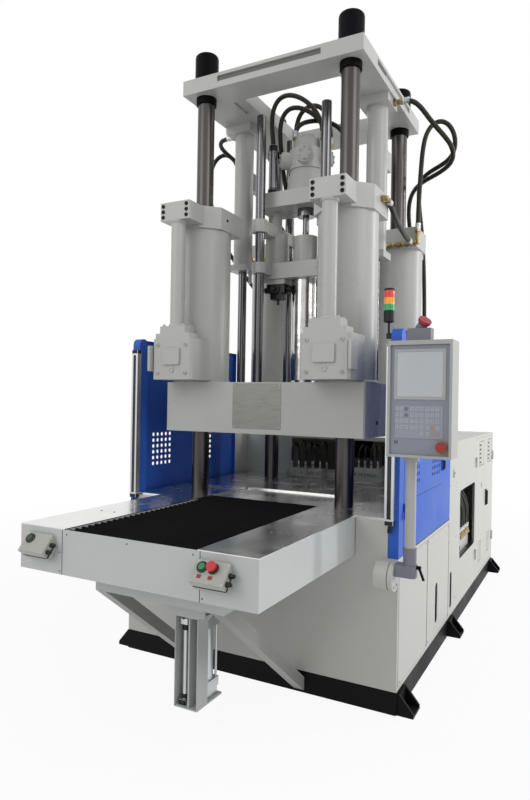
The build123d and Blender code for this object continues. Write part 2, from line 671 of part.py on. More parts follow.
def make_ejector_bracket():
    """Channel hung under the table, with a foot, a head plate and two hangers."""
    y = FRONT - EJECT_Y
    web = y - 62
    deep = web - 90
    z0 = EJECT_BOTTOM
    z1 = EJECT_HANG
    pieces = [block(-66, 66, web - 6, web, z0, z1), block(-66, -62, deep, web - 6, z0, z1),
              block(62, 66, deep, web - 6, z0, z1), block(8, 16, deep + 6, web - 6, z0 + 6, z1 - 6),
              block(-62, 62, deep, web - 6, z0, z0 + 6), block(-62, 62, deep, web - 6, z1 - 6, z1),
              block(-66, 66, web, y + 70, z0, z0 + 8)]
    head = block(-100, 100, deep, y + 110, z1, z1 + 14)
    pieces.append(head - rod_z(0, y, z1 - 1, z1 + 20, EJECT_ROD_R + 8))
    for y0 in (y - 152, y + 96):
        pieces.append(block(-100, 100, y0, y0 + 14, z1 + 14, SUBFRAME_BOTTOM))
    save("ejector_bracket", *pieces)


def make_ejector_cylinder():
    """Tie-rod cylinder of the ejector, with its upright position sensor in the channel."""
    y = FRONT - EJECT_Y
    z0, z1 = EJECT_CYL
    cap = 44.0
    bore = 40.0
    barrel = ring_z(0, y, z0 + cap, z1 - cap, 48, bore)
    rods = []
    lower = block(-55, 55, y - 55, y + 55, z0, z0 + cap)
    upper = block(-55, 55, y - 55, y + 55, z1 - cap, z1)
    upper -= rod_z(0, y, z1 - cap - 1, z1 + 1, EJECT_ROD_R + RUN_FIT)
    for sx in (-1, 1):
        for sy in (-1, 1):
            rods.append(rod_z(sx * 44, y + sy * 44, z0 + cap, z1 - cap, 6))
    foot = block(-50, 50, y - 50, y + 50, EJECT_BOTTOM + 8, z0)
    head = ring_z(0, y, z1, EJECT_HANG, 50, EJECT_ROD_R + 8)
    sensor_y = y - 62 - 48
    sensor = rod_z(-30, sensor_y, EJECT_BOTTOM + 6, EJECT_HANG - 20, 14)
    sensor += block(-50, -10, sensor_y - 20, sensor_y + 42, EJECT_BOTTOM + 6, EJECT_BOTTOM + 30)
    sensor += block(-50, -10, sensor_y - 20, sensor_y + 42, EJECT_HANG - 50, EJECT_HANG - 20)
    save("ejector_cylinder", lower + foot, upper + head, barrel, *rods, sensor)


def make_ejector_rod():
    """Piston and rod with a push plate on top."""
    y = FRONT - EJECT_Y
    z0, z1 = EJECT_CYL
    rod = rod_z(0, y, z0 + 60, 752, EJECT_ROD_R)
    rod += rod_z(0, y, z0 + 60, z0 + 90, 40 - RUN_FIT)
    rod += rod_z(0, y, 740, 760, 45)
    save("ejector_rod", rod)


def make_tie_bars():
    """Four polished bars from the lower platen to the caps."""
    bars = [rod_z(x, y, PLATEN_BASE_Z - 60, TOP_PLATE_TOP + 100, TIE_R) for x, y, sx, sy in TIES]
    save("tie_bars", *bars)


def make_tie_bar_nuts():
    """Nuts under the lower platen, collars under the top plate and round caps above it."""
    pieces = []
    for x, y, sx, sy in TIES:
        pieces.append(ring_z(x, y, PLATEN_BASE_Z - 55, PLATEN_BASE_Z, 78, TIE_R + SLIP))
        pieces.append(ring_z(x, y, TOP_PLATE_Z - 42, TOP_PLATE_Z, 63, TIE_R + SLIP))
        cap = rod_z(x, y, TOP_PLATE_TOP, CAP_TOP, CAP_R)
        cap = fillet(cap.edges().group_by(Axis.Z)[-1], 22)
        cap -= rod_z(x, y, TOP_PLATE_TOP - 1, TOP_PLATE_TOP + 100 + SLIP, TIE_R + SLIP)
        pieces.append(cap)
    save("tie_bar_nuts", *pieces)


PISTON_Z = 1730.0
PISTON_T = 120.0


def make_clamp_pistons():
    """Pistons held on the tie bars inside the clamp cylinders."""
    rings = [ring_z(x, y, PISTON_Z, PISTON_Z + PISTON_T, CYL_BORE - RUN_FIT, TIE_R + SLIP)
             for x, y, sx, sy in TIES]
    save("clamp_pistons", *rings)


WINDOW = (-260.0, 372.0, 320.0, 1080.0)         # x0, x1, y0, y1 behind the front face


def make_top_plate():
    """Plate across the tie bars, with a window for the injection unit and grooves in its edges."""
    plate = block(-TOP_PLATE_HALF, TOP_PLATE_HALF, CLAMP_Y - TOP_PLATE_HALF, CLAMP_Y + TOP_PLATE_HALF,
                  TOP_PLATE_Z, TOP_PLATE_TOP)
    x0, x1, y0, y1 = WINDOW
    plate -= block(x0, x1, back(y0), back(y1), TOP_PLATE_Z - 1, TOP_PLATE_TOP + 1)
    for x, y, sx, sy in TIES:
        plate -= rod_z(x, y, TOP_PLATE_Z - 1, TOP_PLATE_TOP + 1, TIE_R + SLIP)
    groove = 338.0
    z = (TOP_PLATE_Z + TOP_PLATE_TOP) / 2 + 9
    deep = 12.0
    for side in (-1, 1):
        edge = CLAMP_Y + side * TOP_PLATE_HALF
        plate -= block(-groove, groove, edge - deep, edge + deep, z - 17, z + 17)
        edge = side * TOP_PLATE_HALF
        plate -= block(edge - deep, edge + deep, CLAMP_Y - groove, CLAMP_Y + groove, z - 17, z + 17)
    plate -= block(-348, -318, back(327), back(490), TOP_PLATE_Z - 1, TOP_PLATE_Z + 10)
    save("top_plate", plate)


LIFT_FLANGE_T = 50.0
LIFT_BORE = 50.0


def make_lift_cylinders():
    """Two cylinders hung under the top plate that lift the moving platen."""
    pieces = []
    flange_z = TOP_PLATE_Z - LIFT_FLANGE_T
    for side in (-1, 1):
        x = side * TIE_X
        body = rod_z(x, CLAMP_Y, LIFT_BOTTOM, flange_z, LIFT_R)
        body += block(x - 95, x + 95, CLAMP_Y - 95, CLAMP_Y + 95, flange_z, TOP_PLATE_Z)
        body += block(x - 75, x + 75, CLAMP_Y - 75, CLAMP_Y + 75, LIFT_BOTTOM - 38, LIFT_BOTTOM + 4)
        body -= rod_z(x, CLAMP_Y, LIFT_BOTTOM + 20, flange_z - 20, LIFT_BORE)
        body -= rod_z(x, CLAMP_Y, LIFT_BOTTOM - 50, LIFT_BOTTOM + 30, LIFT_ROD_R + RUN_FIT)
        # Ported valve block on the rear of the tube
        body += block(x - 50, x + 50, CLAMP_Y + LIFT_R - 8, CLAMP_Y + LIFT_R + 70, 3020, 3140)
        pieces.append(body)
    sensor = rod_z(-TIE_X + 60, CLAMP_Y, LIFT_BOTTOM - 120, LIFT_BOTTOM - 38, 13)
    save("lift_cylinders", *pieces, sensor)


def make_guard_posts():
    """Blue folded posts at the front corners, with round tops and the fixed halves of the hinges."""
    y1 = back(POST_D)
    arc = POST_D / 2
    x0 = HALF_W - POST_W
    post = block(x0, HALF_W, FRONT, y1, SIDE_H, GUARD_TOP - arc)
    post += rod_x(x0, HALF_W, (FRONT + y1) / 2, GUARD_TOP - arc, arc)
    for z in DOOR_HINGES:
        post += fixed_hinge(y1 + 4, z, 1)
    save("guard_posts", post, other_side(post))


def make_light_curtains():
    """Slim upright sender and receiver bars on the posts."""
    x0 = HALF_W - 65
    bar = block(x0, x0 + 45, FRONT - 36, FRONT, CURTAIN_BOTTOM, CURTAIN_TOP)
    bar -= block(x0 + 12, x0 + 33, FRONT - 37, FRONT - 32, CURTAIN_BOTTOM + 30, CURTAIN_TOP - 30)
    save("light_curtains", bar, other_side(bar))


TOWER_X = 771.0
TOWER_SETBACK = 40.0
TOWER_FOOT = 1877.0
TOWER_FOOT_H = 26.0
TOWER_STACK = ((57.0, 6.0), (59.0, 27.0), (32.0, 26.0), (33.0, 26.0), (36.0, 26.0), (12.0, 27.0))


def make_signal_tower():
    """Foot, pole and stacked lamps, on the inner side of the right post."""
    y = back(TOWER_SETBACK)
    foot = block(TOWER_X - 12, HALF_W - POST_W, y - 14, y + 14, TOWER_FOOT, TOWER_FOOT + TOWER_FOOT_H)
    level = TOWER_FOOT + TOWER_FOOT_H
    stack = [foot]
    for height, r in TOWER_STACK:
        stack.append(rod_z(TOWER_X, y, level, level + height, r))
        level += height
    save("signal_tower", *stack)


DOOR_SHEET = 3.0
DOOR_WINDOWS = (300.0, 800.0)
DOOR_WINDOW_Z = 1225.0
WINDOW_COLS = 5
WINDOW_ROWS = 6


def side_door():
    """Guard door: a folded pan with two perforated windows, a stiffening crease and a latch plate."""
    y0 = back(POST_D) + 8
    y1 = back(CHEEK_SETBACK) - 3
    z0 = SIDE_H + 8
    z1 = GUARD_TOP - 5
    skin, rims = pan(HALF_W - DOOR_T, HALF_W, y0, y1, z0, z1, DOOR_SHEET)
    for middle in DOOR_WINDOWS:
        for col in range(WINDOW_COLS):
            for row in range(WINDOW_ROWS):
                y = back(middle) + (col - (WINDOW_COLS - 1) / 2) * 44
                z = DOOR_WINDOW_Z + (row - (WINDOW_ROWS - 1) / 2) * 38
                hole = Plane.YZ * Pos(y, z) * RegularPolygon(13, 6)
                skin -= Pos(HALF_W - 10, 0, 0) * extrude(hole, 20)
    latch = block(HALF_W, HALF_W + 10, back(950), back(985), 1130, 1205)
    axis_y = back(POST_D) + 4
    return [skin, *rims, latch, *[door_knuckle(axis_y, z, 1) for z in DOOR_HINGES]]


def make_side_doors():
    door = side_door()
    save("side_door_right", *door)
    save("side_door_left", *[other_side(piece) for piece in door])


STATION_TILT = 40.0
STATION_W = 150.0
STATION_H = 96.0
STATION_D = 62.0
STATION_Z = 905.0
STATIONS = (-TABLE_HALF + 138, TABLE_HALF - 188)
BUTTON_R = 14.0
BUTTON_GAP = 0.3


def on_station(x, across, up, out):
    """Place on a hand station's face: across and up the face, and out along its normal."""
    centre = Pos(x, TABLE_FRONT - 42, STATION_Z)
    return centre * Rot(90 - STATION_TILT, 0, 0) * Pos(across, up, out)


def make_hand_stations():
    """Two tilted boxes on the table front, each on a wedge, with collars for the buttons."""
    pieces = []
    for x, spots in zip(STATIONS, ((-38.0,), (-38.0, 12.0))):
        box = on_station(x, 0, 0, -STATION_D / 2) * Box(STATION_W, STATION_H, STATION_D)
        for across in spots:
            box += on_station(x, across, 16, 4) * Cylinder(22, 8)
        box += block(x - 60, x + 60, TABLE_FRONT - 30, TABLE_FRONT, STATION_Z - 70, STATION_Z + 10)
        box -= block(x - 200, x + 200, TABLE_FRONT, TABLE_FRONT + 200, 700, 1100)
        for across in spots:
            box -= on_station(x, across, 16, -10) * Cylinder(BUTTON_R + BUTTON_GAP, 60)
        pieces.append(box)
    save("hand_stations", *pieces)


def flat_button(x, across):
    """Flush push button in a station."""
    return on_station(x, across, 16, -2) * Cylinder(BUTTON_R, 26)


def make_station_buttons():
    save("start_button_left", flat_button(STATIONS[0], -38.0))
    save("start_button_right", flat_button(STATIONS[1], -38.0))
    stop = on_station(STATIONS[1], 12.0, 16, 2) * Cylinder(BUTTON_R, 34)
    stop += on_station(STATIONS[1], 12.0, 16, 22) * Cylinder(20, 12)
    save("stop_button_right", stop)


POLE_Y = FRONT - POLE_REACH
ELBOW_Z = (735.0, 792.0)
SOCKET_TOP = 871.0
DRUM_X = (784.0, 874.0)
DRUM_Z = 724.0
DRUM_R = 67.0


def make_arm_flange():
    """Cast drum on a foot plate at the body's front, which carries the panel arm."""
    x0, x1 = DRUM_X
    drum = rod_x(x0, x1, POLE_Y, DRUM_Z, DRUM_R)
    # Groove where the drum's turning half begins
    groove = rod_x(x0 + 62, x0 + 68, POLE_Y, DRUM_Z, DRUM_R + 1)
    drum -= groove - rod_x(x0 + 61, x0 + 69, POLE_Y, DRUM_Z, DRUM_R - 9)
    neck = block(x0 + 4, x0 + 56, POLE_Y, FRONT - 12, DRUM_Z - 40, DRUM_Z + 40)
    foot = block(x0 - 16, x0 + 62, FRONT - 12, FRONT, DRUM_Z - 66, DRUM_Z + 46)
    save("arm_flange", drum + neck + foot)


def make_arm_elbow():
    """Elbow with a round socket for the pole."""
    x0 = DRUM_X[1]
    x1 = POLE_X + 33
    elbow = block(x0, x1, POLE_Y - 33, POLE_Y + 33, *ELBOW_Z)
    elbow = fillet(elbow.edges().filter_by(Axis.Z).sort_by(Axis.X)[2:], 18)
    elbow += rod_z(POLE_X, POLE_Y, ELBOW_Z[1] - 10, SOCKET_TOP, 31)
    elbow -= rod_z(POLE_X, POLE_Y, ELBOW_Z[0] + 12, SOCKET_TOP + 1, POLE_R + RUN_FIT)
    elbow -= rod_x(x1 - 6, x1 + 1, POLE_Y, 783, 5 + RUN_FIT)
    save("arm_elbow", elbow)


def make_arm_pole():
    """Round pole between the elbow and the panel."""
    pole = rod_z(POLE_X, POLE_Y, ELBOW_Z[0] + 12 + SLIP, PANEL_BOTTOM, POLE_R)
    pole += rod_z(POLE_X, POLE_Y, PANEL_BOTTOM - 22, PANEL_BOTTOM, 38)
    save("arm_pole", pole)


def make_arm_lever():
    """Clamp lever at the elbow, with a hub and a bent handle."""
    x = POLE_X + 33
    lever = rod_x(x - 5, x + 2, POLE_Y, 783, 5)
    lever += rod_x(x + SLIP, x + 20, POLE_Y, 783, 9)
    handle = prism_y([(x + 8, 778), (x + 20, 774), (x + 38, 728), (x + 29, 725)], POLE_Y - 6, POLE_Y + 6)
    save("arm_lever", lever + handle)


PANEL_STOP = (249.0, 53.0)      # across and up the panel's front


def make_panel_housing():
    """Control panel box with a hood rim round a recessed face."""
    x0 = POLE_X - PANEL_LEFT
    y0 = POLE_Y - PANEL_AHEAD
    box = block(x0, x0 + PANEL_W, y0, y0 + PANEL_D, PANEL_BOTTOM, PANEL_TOP)
    box = fillet(box.edges().filter_by(Axis.Z).group_by(Axis.Y)[-1], 12)
    rim = 12.0
    box -= block(x0 + rim, x0 + PANEL_W - rim, y0 - 1, y0 + 14, PANEL_BOTTOM + rim, PANEL_TOP - 20)
    # Screen frame, and one raised pad for the keys
    box += block(x0 + 30, x0 + PANEL_W - 30, y0 + 9, y0 + 16, PANEL_TOP - 270, PANEL_TOP - 40)
    box -= block(x0 + 42, x0 + PANEL_W - 42, y0, y0 + 12, PANEL_TOP - 258, PANEL_TOP - 52)
    box += block(x0 + 36, x0 + PANEL_W - 40, y0 + 11, y0 + 16, PANEL_BOTTOM + 88, PANEL_BOTTOM + 238)
    x = x0 + PANEL_STOP[0]
    z = PANEL_BOTTOM + PANEL_STOP[1]
    box += rod_y(x, y0 + 8, y0 + 20, z, 26)
    box -= rod_y(x, y0 - 5, y0 + 60, z, BUTTON_R + BUTTON_GAP)
    save("panel_housing", box)
    stop = rod_y(x, y0 - 6, y0 + 30, z, BUTTON_R) + rod_y(x, y0 - 18, y0 - 5, z, 21)
    save("panel_stop", stop)


PALM_X = 974.0
PALM_TURN = -35.0
PALM_TILT = 42.0


def on_palm(out):
    """Place along the palm button's axis, which leans to the operator's right and forward."""
    lean = Rot(0, 0, PALM_TURN) * Rot(0, PALM_TILT, 0)
    return Pos(PALM_X + 8, POLE_Y - 4, PANEL_TOP + 74) * lean * Pos(0, 0, out)


def make_palm_station():
    """Cast box on the panel's top with a tilted collar for the palm button."""
    box = block(PALM_X - 56, PALM_X + 56, POLE_Y - 35, POLE_Y + 35, PANEL_TOP, PANEL_TOP + 62)
    box = fillet(box.edges().filter_by(Axis.Z), 10)
    box += on_palm(-14) * Cylinder(24, 52)
    box -= on_palm(-5) * Cylinder(BUTTON_R + BUTTON_GAP, 46)
    save("palm_station", box)
    button = on_palm(4) * Cylinder(BUTTON_R, 32) + on_palm(28) * Cylinder(31, 16)
    save("palm_button", button)


def make_moving_platen():
    """Heavy moving platen with bores for the tie bars and the barrel, and holes for the mould."""
    platen = block(-PLATEN_HALF_X, PLATEN_HALF_X, CLAMP_Y - PLATEN_HALF_Y, CLAMP_Y + PLATEN_HALF_Y,
                   PLATEN_Z, PLATEN_TOP)
    platen = chamfer(platen.edges().filter_by(Axis.Z), 8)
    for x, y, sx, sy in TIES:
        platen -= rod_z(x, y, PLATEN_Z - 1, PLATEN_TOP + 1, TIE_R + RUN_FIT)
    platen -= rod_z(0, CLAMP_Y, PLATEN_Z + 30, PLATEN_TOP + 1, SHROUD_R + 8)
    platen -= rod_z(0, CLAMP_Y, PLATEN_Z - 1, PLATEN_Z + 31, 62.5)
    for x in (-200.0, 200.0):
        for y in (-200.0, 200.0):
            platen -= rod_z(x, CLAMP_Y + y, PLATEN_Z - 1, PLATEN_Z + 45, 10)
    save("moving_platen", platen)


FOOT_PLATE_T = 40.0


def make_clamp_cylinders():
    """Cylinders that stand on the moving platen round the tie bars."""
    pieces = []
    for x, y, sx, sy in TIES:
        cylinder = rod_z(x, y, PLATEN_TOP, HEAD_Z, CYL_R)
        cylinder -= rod_z(x, y, PLATEN_TOP + FOOT_PLATE_T, HEAD_Z + 1, CYL_BORE)
        cylinder -= rod_z(x, y, PLATEN_TOP - 1, PLATEN_TOP + 50, TIE_R + RUN_FIT)
        pieces.append(cylinder)
    save("clamp_cylinders", *pieces)


SCREW_ACROSS = 82.0
SCREW_PITCH = 32.0


def make_head_blocks():
    """Head of each clamp cylinder, with an ear over the transfer pipe and counterbores."""
    x, y = TIE_X, CLAMP_Y - TIE_Y
    cut = 95.0
    h = HEAD_HALF
    outline = [(x - h + cut, y - h), (x + h - cut, y - h), (x + h, y - h + cut), (x + h, y + h - 8),
               (x - h, y + h - 8), (x - h, y - h + cut)]
    head = prism_z(outline, HEAD_Z, HEAD_Z + HEAD_T)
    top = HEAD_Z + HEAD_T - 8
    face = y - h - EAR_REACH
    head += block(x - EAR_HALF, x + EAR_HALF, face, y - h + 20, top - EAR_T, top)
    head -= rod_z(x, y, HEAD_Z - 1, HEAD_Z + HEAD_T + 1, TIE_R + RUN_FIT)
    for side in (-1, 1):
        for step in (-1, 0, 1):
            z = top - EAR_T / 2 + step * SCREW_PITCH
            head -= rod_y(x + side * SCREW_ACROSS, face - 1, face + 14, z, 12)
    row = [head, other_side(head)]
    save("head_blocks", *row, *[turned_back(piece) for piece in row])


VALVE_TOP = 1905.0
COLLAR_TOP = 1978.0


def pipe_places():
    """Centres of the transfer pipes, with the way that points away from the clamp unit."""
    return [(x, y + sy * PIPE_OUT, sx, sy) for x, y, sx, sy in TIES]


def make_transfer_pipes():
    """Straight pipes from the valve blocks up to the ears of the head blocks."""
    ear_bottom = HEAD_Z + HEAD_T - 8 - EAR_T
    pipes = []
    for x, y, sx, sy in pipe_places():
        pipe = rod_z(x, y, COLLAR_TOP, ear_bottom, PIPE_R)
        pipe -= rod_z(x, y, COLLAR_TOP + 5, ear_bottom - 5, PIPE_R - 8)
        pipes.append(pipe)
    save("transfer_pipes", *pipes)


def make_valve_blocks():
    """Stepped valve blocks in front of each clamp cylinder's foot, with the pipe's flange."""
    blocks = []
    x, y = TIE_X, CLAMP_Y - TIE_Y
    pipe_y = y - PIPE_OUT
    y0 = pipe_y - 50
    y1 = y - 20
    body = block(x - 140, x + 140, y0, y1, PLATEN_TOP + 10, VALVE_TOP)
    body -= rod_z(x, y, PLATEN_TOP - 1, VALVE_TOP + 1, CYL_R + SLIP)
    body = chamfer(body.edges().filter_by(Axis.Z).group_by(Axis.Y)[0], 14)
    body += block(x - 118, x + 118, y0 + 2, pipe_y + 55, VALVE_TOP, VALVE_TOP + 31)
    body += block(x - 87, x + 87, pipe_y - 48, pipe_y + 50, VALVE_TOP + 31, COLLAR_TOP)
    body += block(x - 100, x + 100, CLAMP_Y - PLATEN_HALF_Y, y1, PLATEN_TOP, PLATEN_TOP + 10)
    body -= rod_z(x, y, PLATEN_TOP - 1, VALVE_TOP + 1, CYL_R + SLIP)
    row = [body, other_side(body)]
    save("valve_blocks", *row, *[turned_back(piece) for piece in row])


def make_guide_rods():
    """Four polished rods that stand on the moving platen and guide the injection carriage."""
    rods = [rod_z(sx * GUIDE_X, CLAMP_Y + sy * GUIDE_Y, PLATEN_TOP, GUIDE_TOP, GUIDE_R)
            for sx in (-1, 1) for sy in (-1, 1)]
    save("guide_rods", *rods)


def make_lift_rods():
    """Piston rods of the lift cylinders, standing on the moving platen."""
    rods = []
    for side in (-1, 1):
        rod = rod_z(side * TIE_X, CLAMP_Y, PLATEN_TOP, 3300, LIFT_ROD_R)
        rod += rod_z(side * TIE_X, CLAMP_Y, 3250, 3300, LIFT_BORE - RUN_FIT)
        rods.append(rod)
    save("lift_rods", *rods)


BARREL_R = 58.0
BARREL_BORE = 28.0


BASE_HALF_Y = 130.0
HOUSING_BORE = 40.0
INJECT_BORE = 55.0


def make_injection_carriage():
    """Base casting on the guide rods, with the injection cylinders, their bridges and a valve."""
    top = CARRIAGE_Z + CARRIAGE_T
    base = block(-295, 295, CLAMP_Y - BASE_HALF_Y, CLAMP_Y + BASE_HALF_Y, CARRIAGE_Z, top)
    base = fillet(base.edges().filter_by(Axis.Z), 40)
    base -= rod_z(0, CLAMP_Y, CARRIAGE_Z - 1, top + 1, HOUSING_BORE)
    pieces = []
    for sx in (-1, 1):
        x = sx * GUIDE_X
        inject = sx * INJECT_X
        base -= rod_z(inject, CLAMP_Y, CARRIAGE_Z + 15, top + 1, INJECT_BORE)
        pieces.append(ring_z(inject, CLAMP_Y, top, BRIDGE_Z, BOSS_R, INJECT_BORE))
        high = BRIDGE_Z + BRIDGE_T
        bridge = block(x - 40, x + 40, CLAMP_Y - GUIDE_Y, CLAMP_Y + GUIDE_Y, BRIDGE_Z, high)
        bridge += rod_z(inject, CLAMP_Y, BRIDGE_Z, BOSS_TOP, BOSS_R)
        for sy in (-1, 1):
            y = CLAMP_Y + sy * GUIDE_Y
            bore = rod_z(x, y, CARRIAGE_Z - 1, high + 1, GUIDE_R + RUN_FIT)
            y0, y1 = sorted((CLAMP_Y + sy * BASE_HALF_Y, y))
            ear = block(x - 42, x + 42, y0, y1, CARRIAGE_Z + 20, CARRIAGE_Z + 88)
            ear += rod_z(x, y, CARRIAGE_Z + 20, CARRIAGE_Z + 88, 50)
            pieces.append(ear - bore)
            bridge += rod_z(x, y, BRIDGE_Z, high, 50)
            bridge -= bore
        bridge -= rod_z(inject, CLAMP_Y, BOSS_TOP, high + 1, INJECT_ROD_R + 12)
        bridge -= rod_z(inject, CLAMP_Y, BRIDGE_Z - 1, BOSS_TOP - 14, INJECT_BORE)
        pieces.append(bridge - rod_z(inject, CLAMP_Y, BRIDGE_Z, high + 1, INJECT_ROD_R + RUN_FIT))
    pieces.append(ring_z(0, CLAMP_Y, top, SCREW_HOUSING_TOP, SCREW_HOUSING_R, HOUSING_BORE))
    # Shut-off valve hung under the plate's left front
    x, y = -160.0, CLAMP_Y - 75
    valve = block(x - 65, x + 65, y - 40, y + 40, CARRIAGE_Z - 90, CARRIAGE_Z)
    lower = block(x - 42, x + 42, y - 32, y + 32, CARRIAGE_Z - 132, CARRIAGE_Z - 90)
    stem = rod_z(x, y, CARRIAGE_Z - 165, CARRIAGE_Z - 132, 11)
    save("injection_carriage", base, *pieces, valve, lower, stem)


def make_barrel():
    """Barrel with its nozzle, and the stainless shroud round its heaters."""
    barrel = rod_z(0, CLAMP_Y, 1500, CARRIAGE_Z, BARREL_R)
    nozzle = Pos(0, CLAMP_Y, (NOZZLE_TIP + 1500) / 2) * Cone(16, 44, 1500 - NOZZLE_TIP)
    barrel += nozzle
    barrel -= rod_z(0, CLAMP_Y, 1530, CARRIAGE_Z + 1, BARREL_BORE)
    barrel -= rod_z(0, CLAMP_Y, NOZZLE_TIP - 1, 1540, 3)
    save("barrel", barrel)
    save("barrel_shroud", ring_z(0, CLAMP_Y, 1690, CARRIAGE_Z, SHROUD_R, SHROUD_R - 3))


SENSOR_X = -200.0
SENSOR_Y = -99.0


def make_crosshead():
    """Crosshead plate with the bearing housing, the injection rods and the stroke sensor."""
    top = CROSS_Z + CROSS_T
    body = block(-303, 303, CLAMP_Y - 139, CLAMP_Y + 139, CROSS_Z, top)
    body = fillet(body.edges().filter_by(Axis.Z), 45)
    body += Pos(0, CLAMP_Y, (top + MOTOR_Z) / 2) * Cone(135, 108, MOTOR_Z - top)
    body -= rod_z(0, CLAMP_Y, CROSS_Z - 1, CROSS_Z + 88, 21 + RUN_FIT)
    for sx in (-1, 1):
        body -= rod_z(sx * INJECT_X, CLAMP_Y, CROSS_Z - 1, top + 1, INJECT_ROD_R + SLIP)
    rods = []
    for sx in (-1, 1):
        x = sx * INJECT_X
        rod = rod_z(x, CLAMP_Y, 2470, top + 30, INJECT_ROD_R)
        rod += rod_z(x, CLAMP_Y, 2470, 2495, INJECT_BORE - RUN_FIT)
        rod += rod_z(x, CLAMP_Y, top, top + 34, 46)
        rods.append(rod)
    sensor = rod_z(SENSOR_X, CLAMP_Y + SENSOR_Y, top, top + 27, 33)
    sensor += rod_z(SENSOR_X, CLAMP_Y + SENSOR_Y, top + 27, 3237, 27)
    save("crosshead", body, *rods, sensor)


MOTOR_LOBES = 5
PORT_X = 122.0
PORT_TOP = 3240.0
MOTOR_PORTS = (-26.0, 26.0)


def make_screw_motor():
    """Radial piston motor that turns the screw: five cylinders round a case, valve cap on top."""
    ring_top = MOTOR_Z + 130
    case = rod_z(0, CLAMP_Y, MOTOR_Z, ring_top, 118)
    lobes = []
    for i in range(MOTOR_LOBES):
        angle = 216.0 + i * 360.0 / MOTOR_LOBES
        place = Pos(0, CLAMP_Y, MOTOR_Z + 64) * Rot(0, 0, angle)
        lobes.append(place * Pos(84, 0, 0) * Rot(0, 90, 0) * Cylinder(54, 168) - case)
    cap = rod_z(0, CLAMP_Y, ring_top, MOTOR_TOP - 30, 88)
    cap += Pos(0, CLAMP_Y, MOTOR_TOP - 15) * Cone(88, 62, 30)
    ports = [rod_z(PORT_X, CLAMP_Y + y, MOTOR_Z + 90, PORT_TOP, 20) for y in MOTOR_PORTS]
    for port in ports:
        case -= port
        lobes = [lobe - port for lobe in lobes]
    save("screw_motor", case, cap, *lobes, *ports)


def make_screw_shaft():
    """Coupling, drive shaft and screw, turning inside the barrel."""
    shaft = rod_z(0, CLAMP_Y, 2400, CROSS_Z + 85, 21)
    shaft += rod_z(0, CLAMP_Y, 2766, CROSS_Z - SLIP, 58)
    shaft += rod_z(0, CLAMP_Y, 1640, 2400, 25)
    save("screw_shaft", shaft)


ROW_Z = 2598.0
LIFT_PORT = (725.0, 3412.0)     # setback and height of the port in the right lift cylinder's flange
BULKHEAD_Y = 1556.0


def make_lift_hose():
    """Hose from the right lift cylinder's flange, round the rear bar and down to the rear housing."""
    setback, z = LIFT_PORT
    x = TIE_X + 95
    route = [(x + 38, setback, z), (x + 78, setback, z), (696, 740, 3402), (732, 772, 3370), (764, 814, 3324),
             (802, 864, 3276), (844, 918, 3230), (876, 972, 3184), (880, 1026, 3140), (846, 1078, 3108),
             (784, 1126, 3090), (712, 1172, 3080), (636, 1220, 3072), (566, 1276, 3050), (514, 1344, 3006),
             (486, 1416, 2930), (480, 1486, 2820), (482, 1538, 2680), (488, 1575, 2510), (494, 1594, 2300),
             (498, 1600, 2050), (499, 1594, 1800), (497, 1580, 1590), (492, BULKHEAD_Y, 1440),
             (492, BULKHEAD_Y, 1335)]
    hose = tube([(px, back(d), pz) for px, d, pz in route], HOSE_R, "lift hose")
    port = rod_x(x, x + 38, back(setback), z, 18)
    bulkhead = rod_z(492, back(BULKHEAD_Y), REAR_H, 1335, 20)
    save("hose_lift", hose, port, bulkhead)


def make_clamp_hose():
    """Hose from the rear right head block, round the rear bar and down to the rear housing."""
    route = [(668, 985, 2662), (668, 985, 2745), (669, 991, 2850), (672, 1001, 2975), (676, 1012, 3100),
             (681, 1024, 3210), (694, 1038, 3304), (723, 1056, 3372), (768, 1074, 3404), (816, 1094, 3394),
             (852, 1118, 3348), (866, 1144, 3286), (854, 1172, 3226), (812, 1200, 3186), (752, 1228, 3166),
             (688, 1260, 3154), (626, 1302, 3140), (578, 1360, 3110), (554, 1428, 3054), (547, 1496, 2965),
             (551, 1551, 2830), (558, 1588, 2640), (563, 1606, 2420), (566, 1612, 2170), (566, 1606, 1920),
             (562, 1592, 1690), (552, BULKHEAD_Y, 1490), (552, BULKHEAD_Y, 1335)]
    hose = tube([(px, back(d), pz) for px, d, pz in route], HOSE_R, "clamp hose")
    bulkhead = rod_z(552, back(BULKHEAD_Y), REAR_H, 1335, 20)
    save("hose_clamp", hose, bulkhead)


def make_head_hose():
    """Hose from the front to the rear right head block, and the pipe fittings on both blocks."""
    side = TIE_X + HEAD_HALF
    start = CLAMP_Y - TIE_Y + 46
    port = rod_x(side, side + 34, start, 2668, 15)
    port += rod_y(side + 19, start, start + 34, 2668, 15)
    x = side + 19
    route = [(x, 296, 2668), (x, 345, 2668), (666, 440, 2638), (656, 545, 2620), (647, 660, 2608),
             (638, 770, 2601), (630, 870, ROW_Z), (630, 955, ROW_Z)]
    hose = tube([(px, back(d), pz) for px, d, pz in route], HOSE_R, "head hose")
    row_y = back(985)
    row = rod_x(448, 668, row_y, ROW_Z, 13)
    row += rod_z(668, row_y, ROW_Z - 13, 2662, 15)
    row += rod_y(630, back(955), row_y, ROW_Z, 17)
    for px in (462, 540, 600):
        row += rod_y(px, row_y, CLAMP_Y + TIE_Y - HEAD_HALF + 8, ROW_Z, 15)
    save("hose_head", hose, port, row)


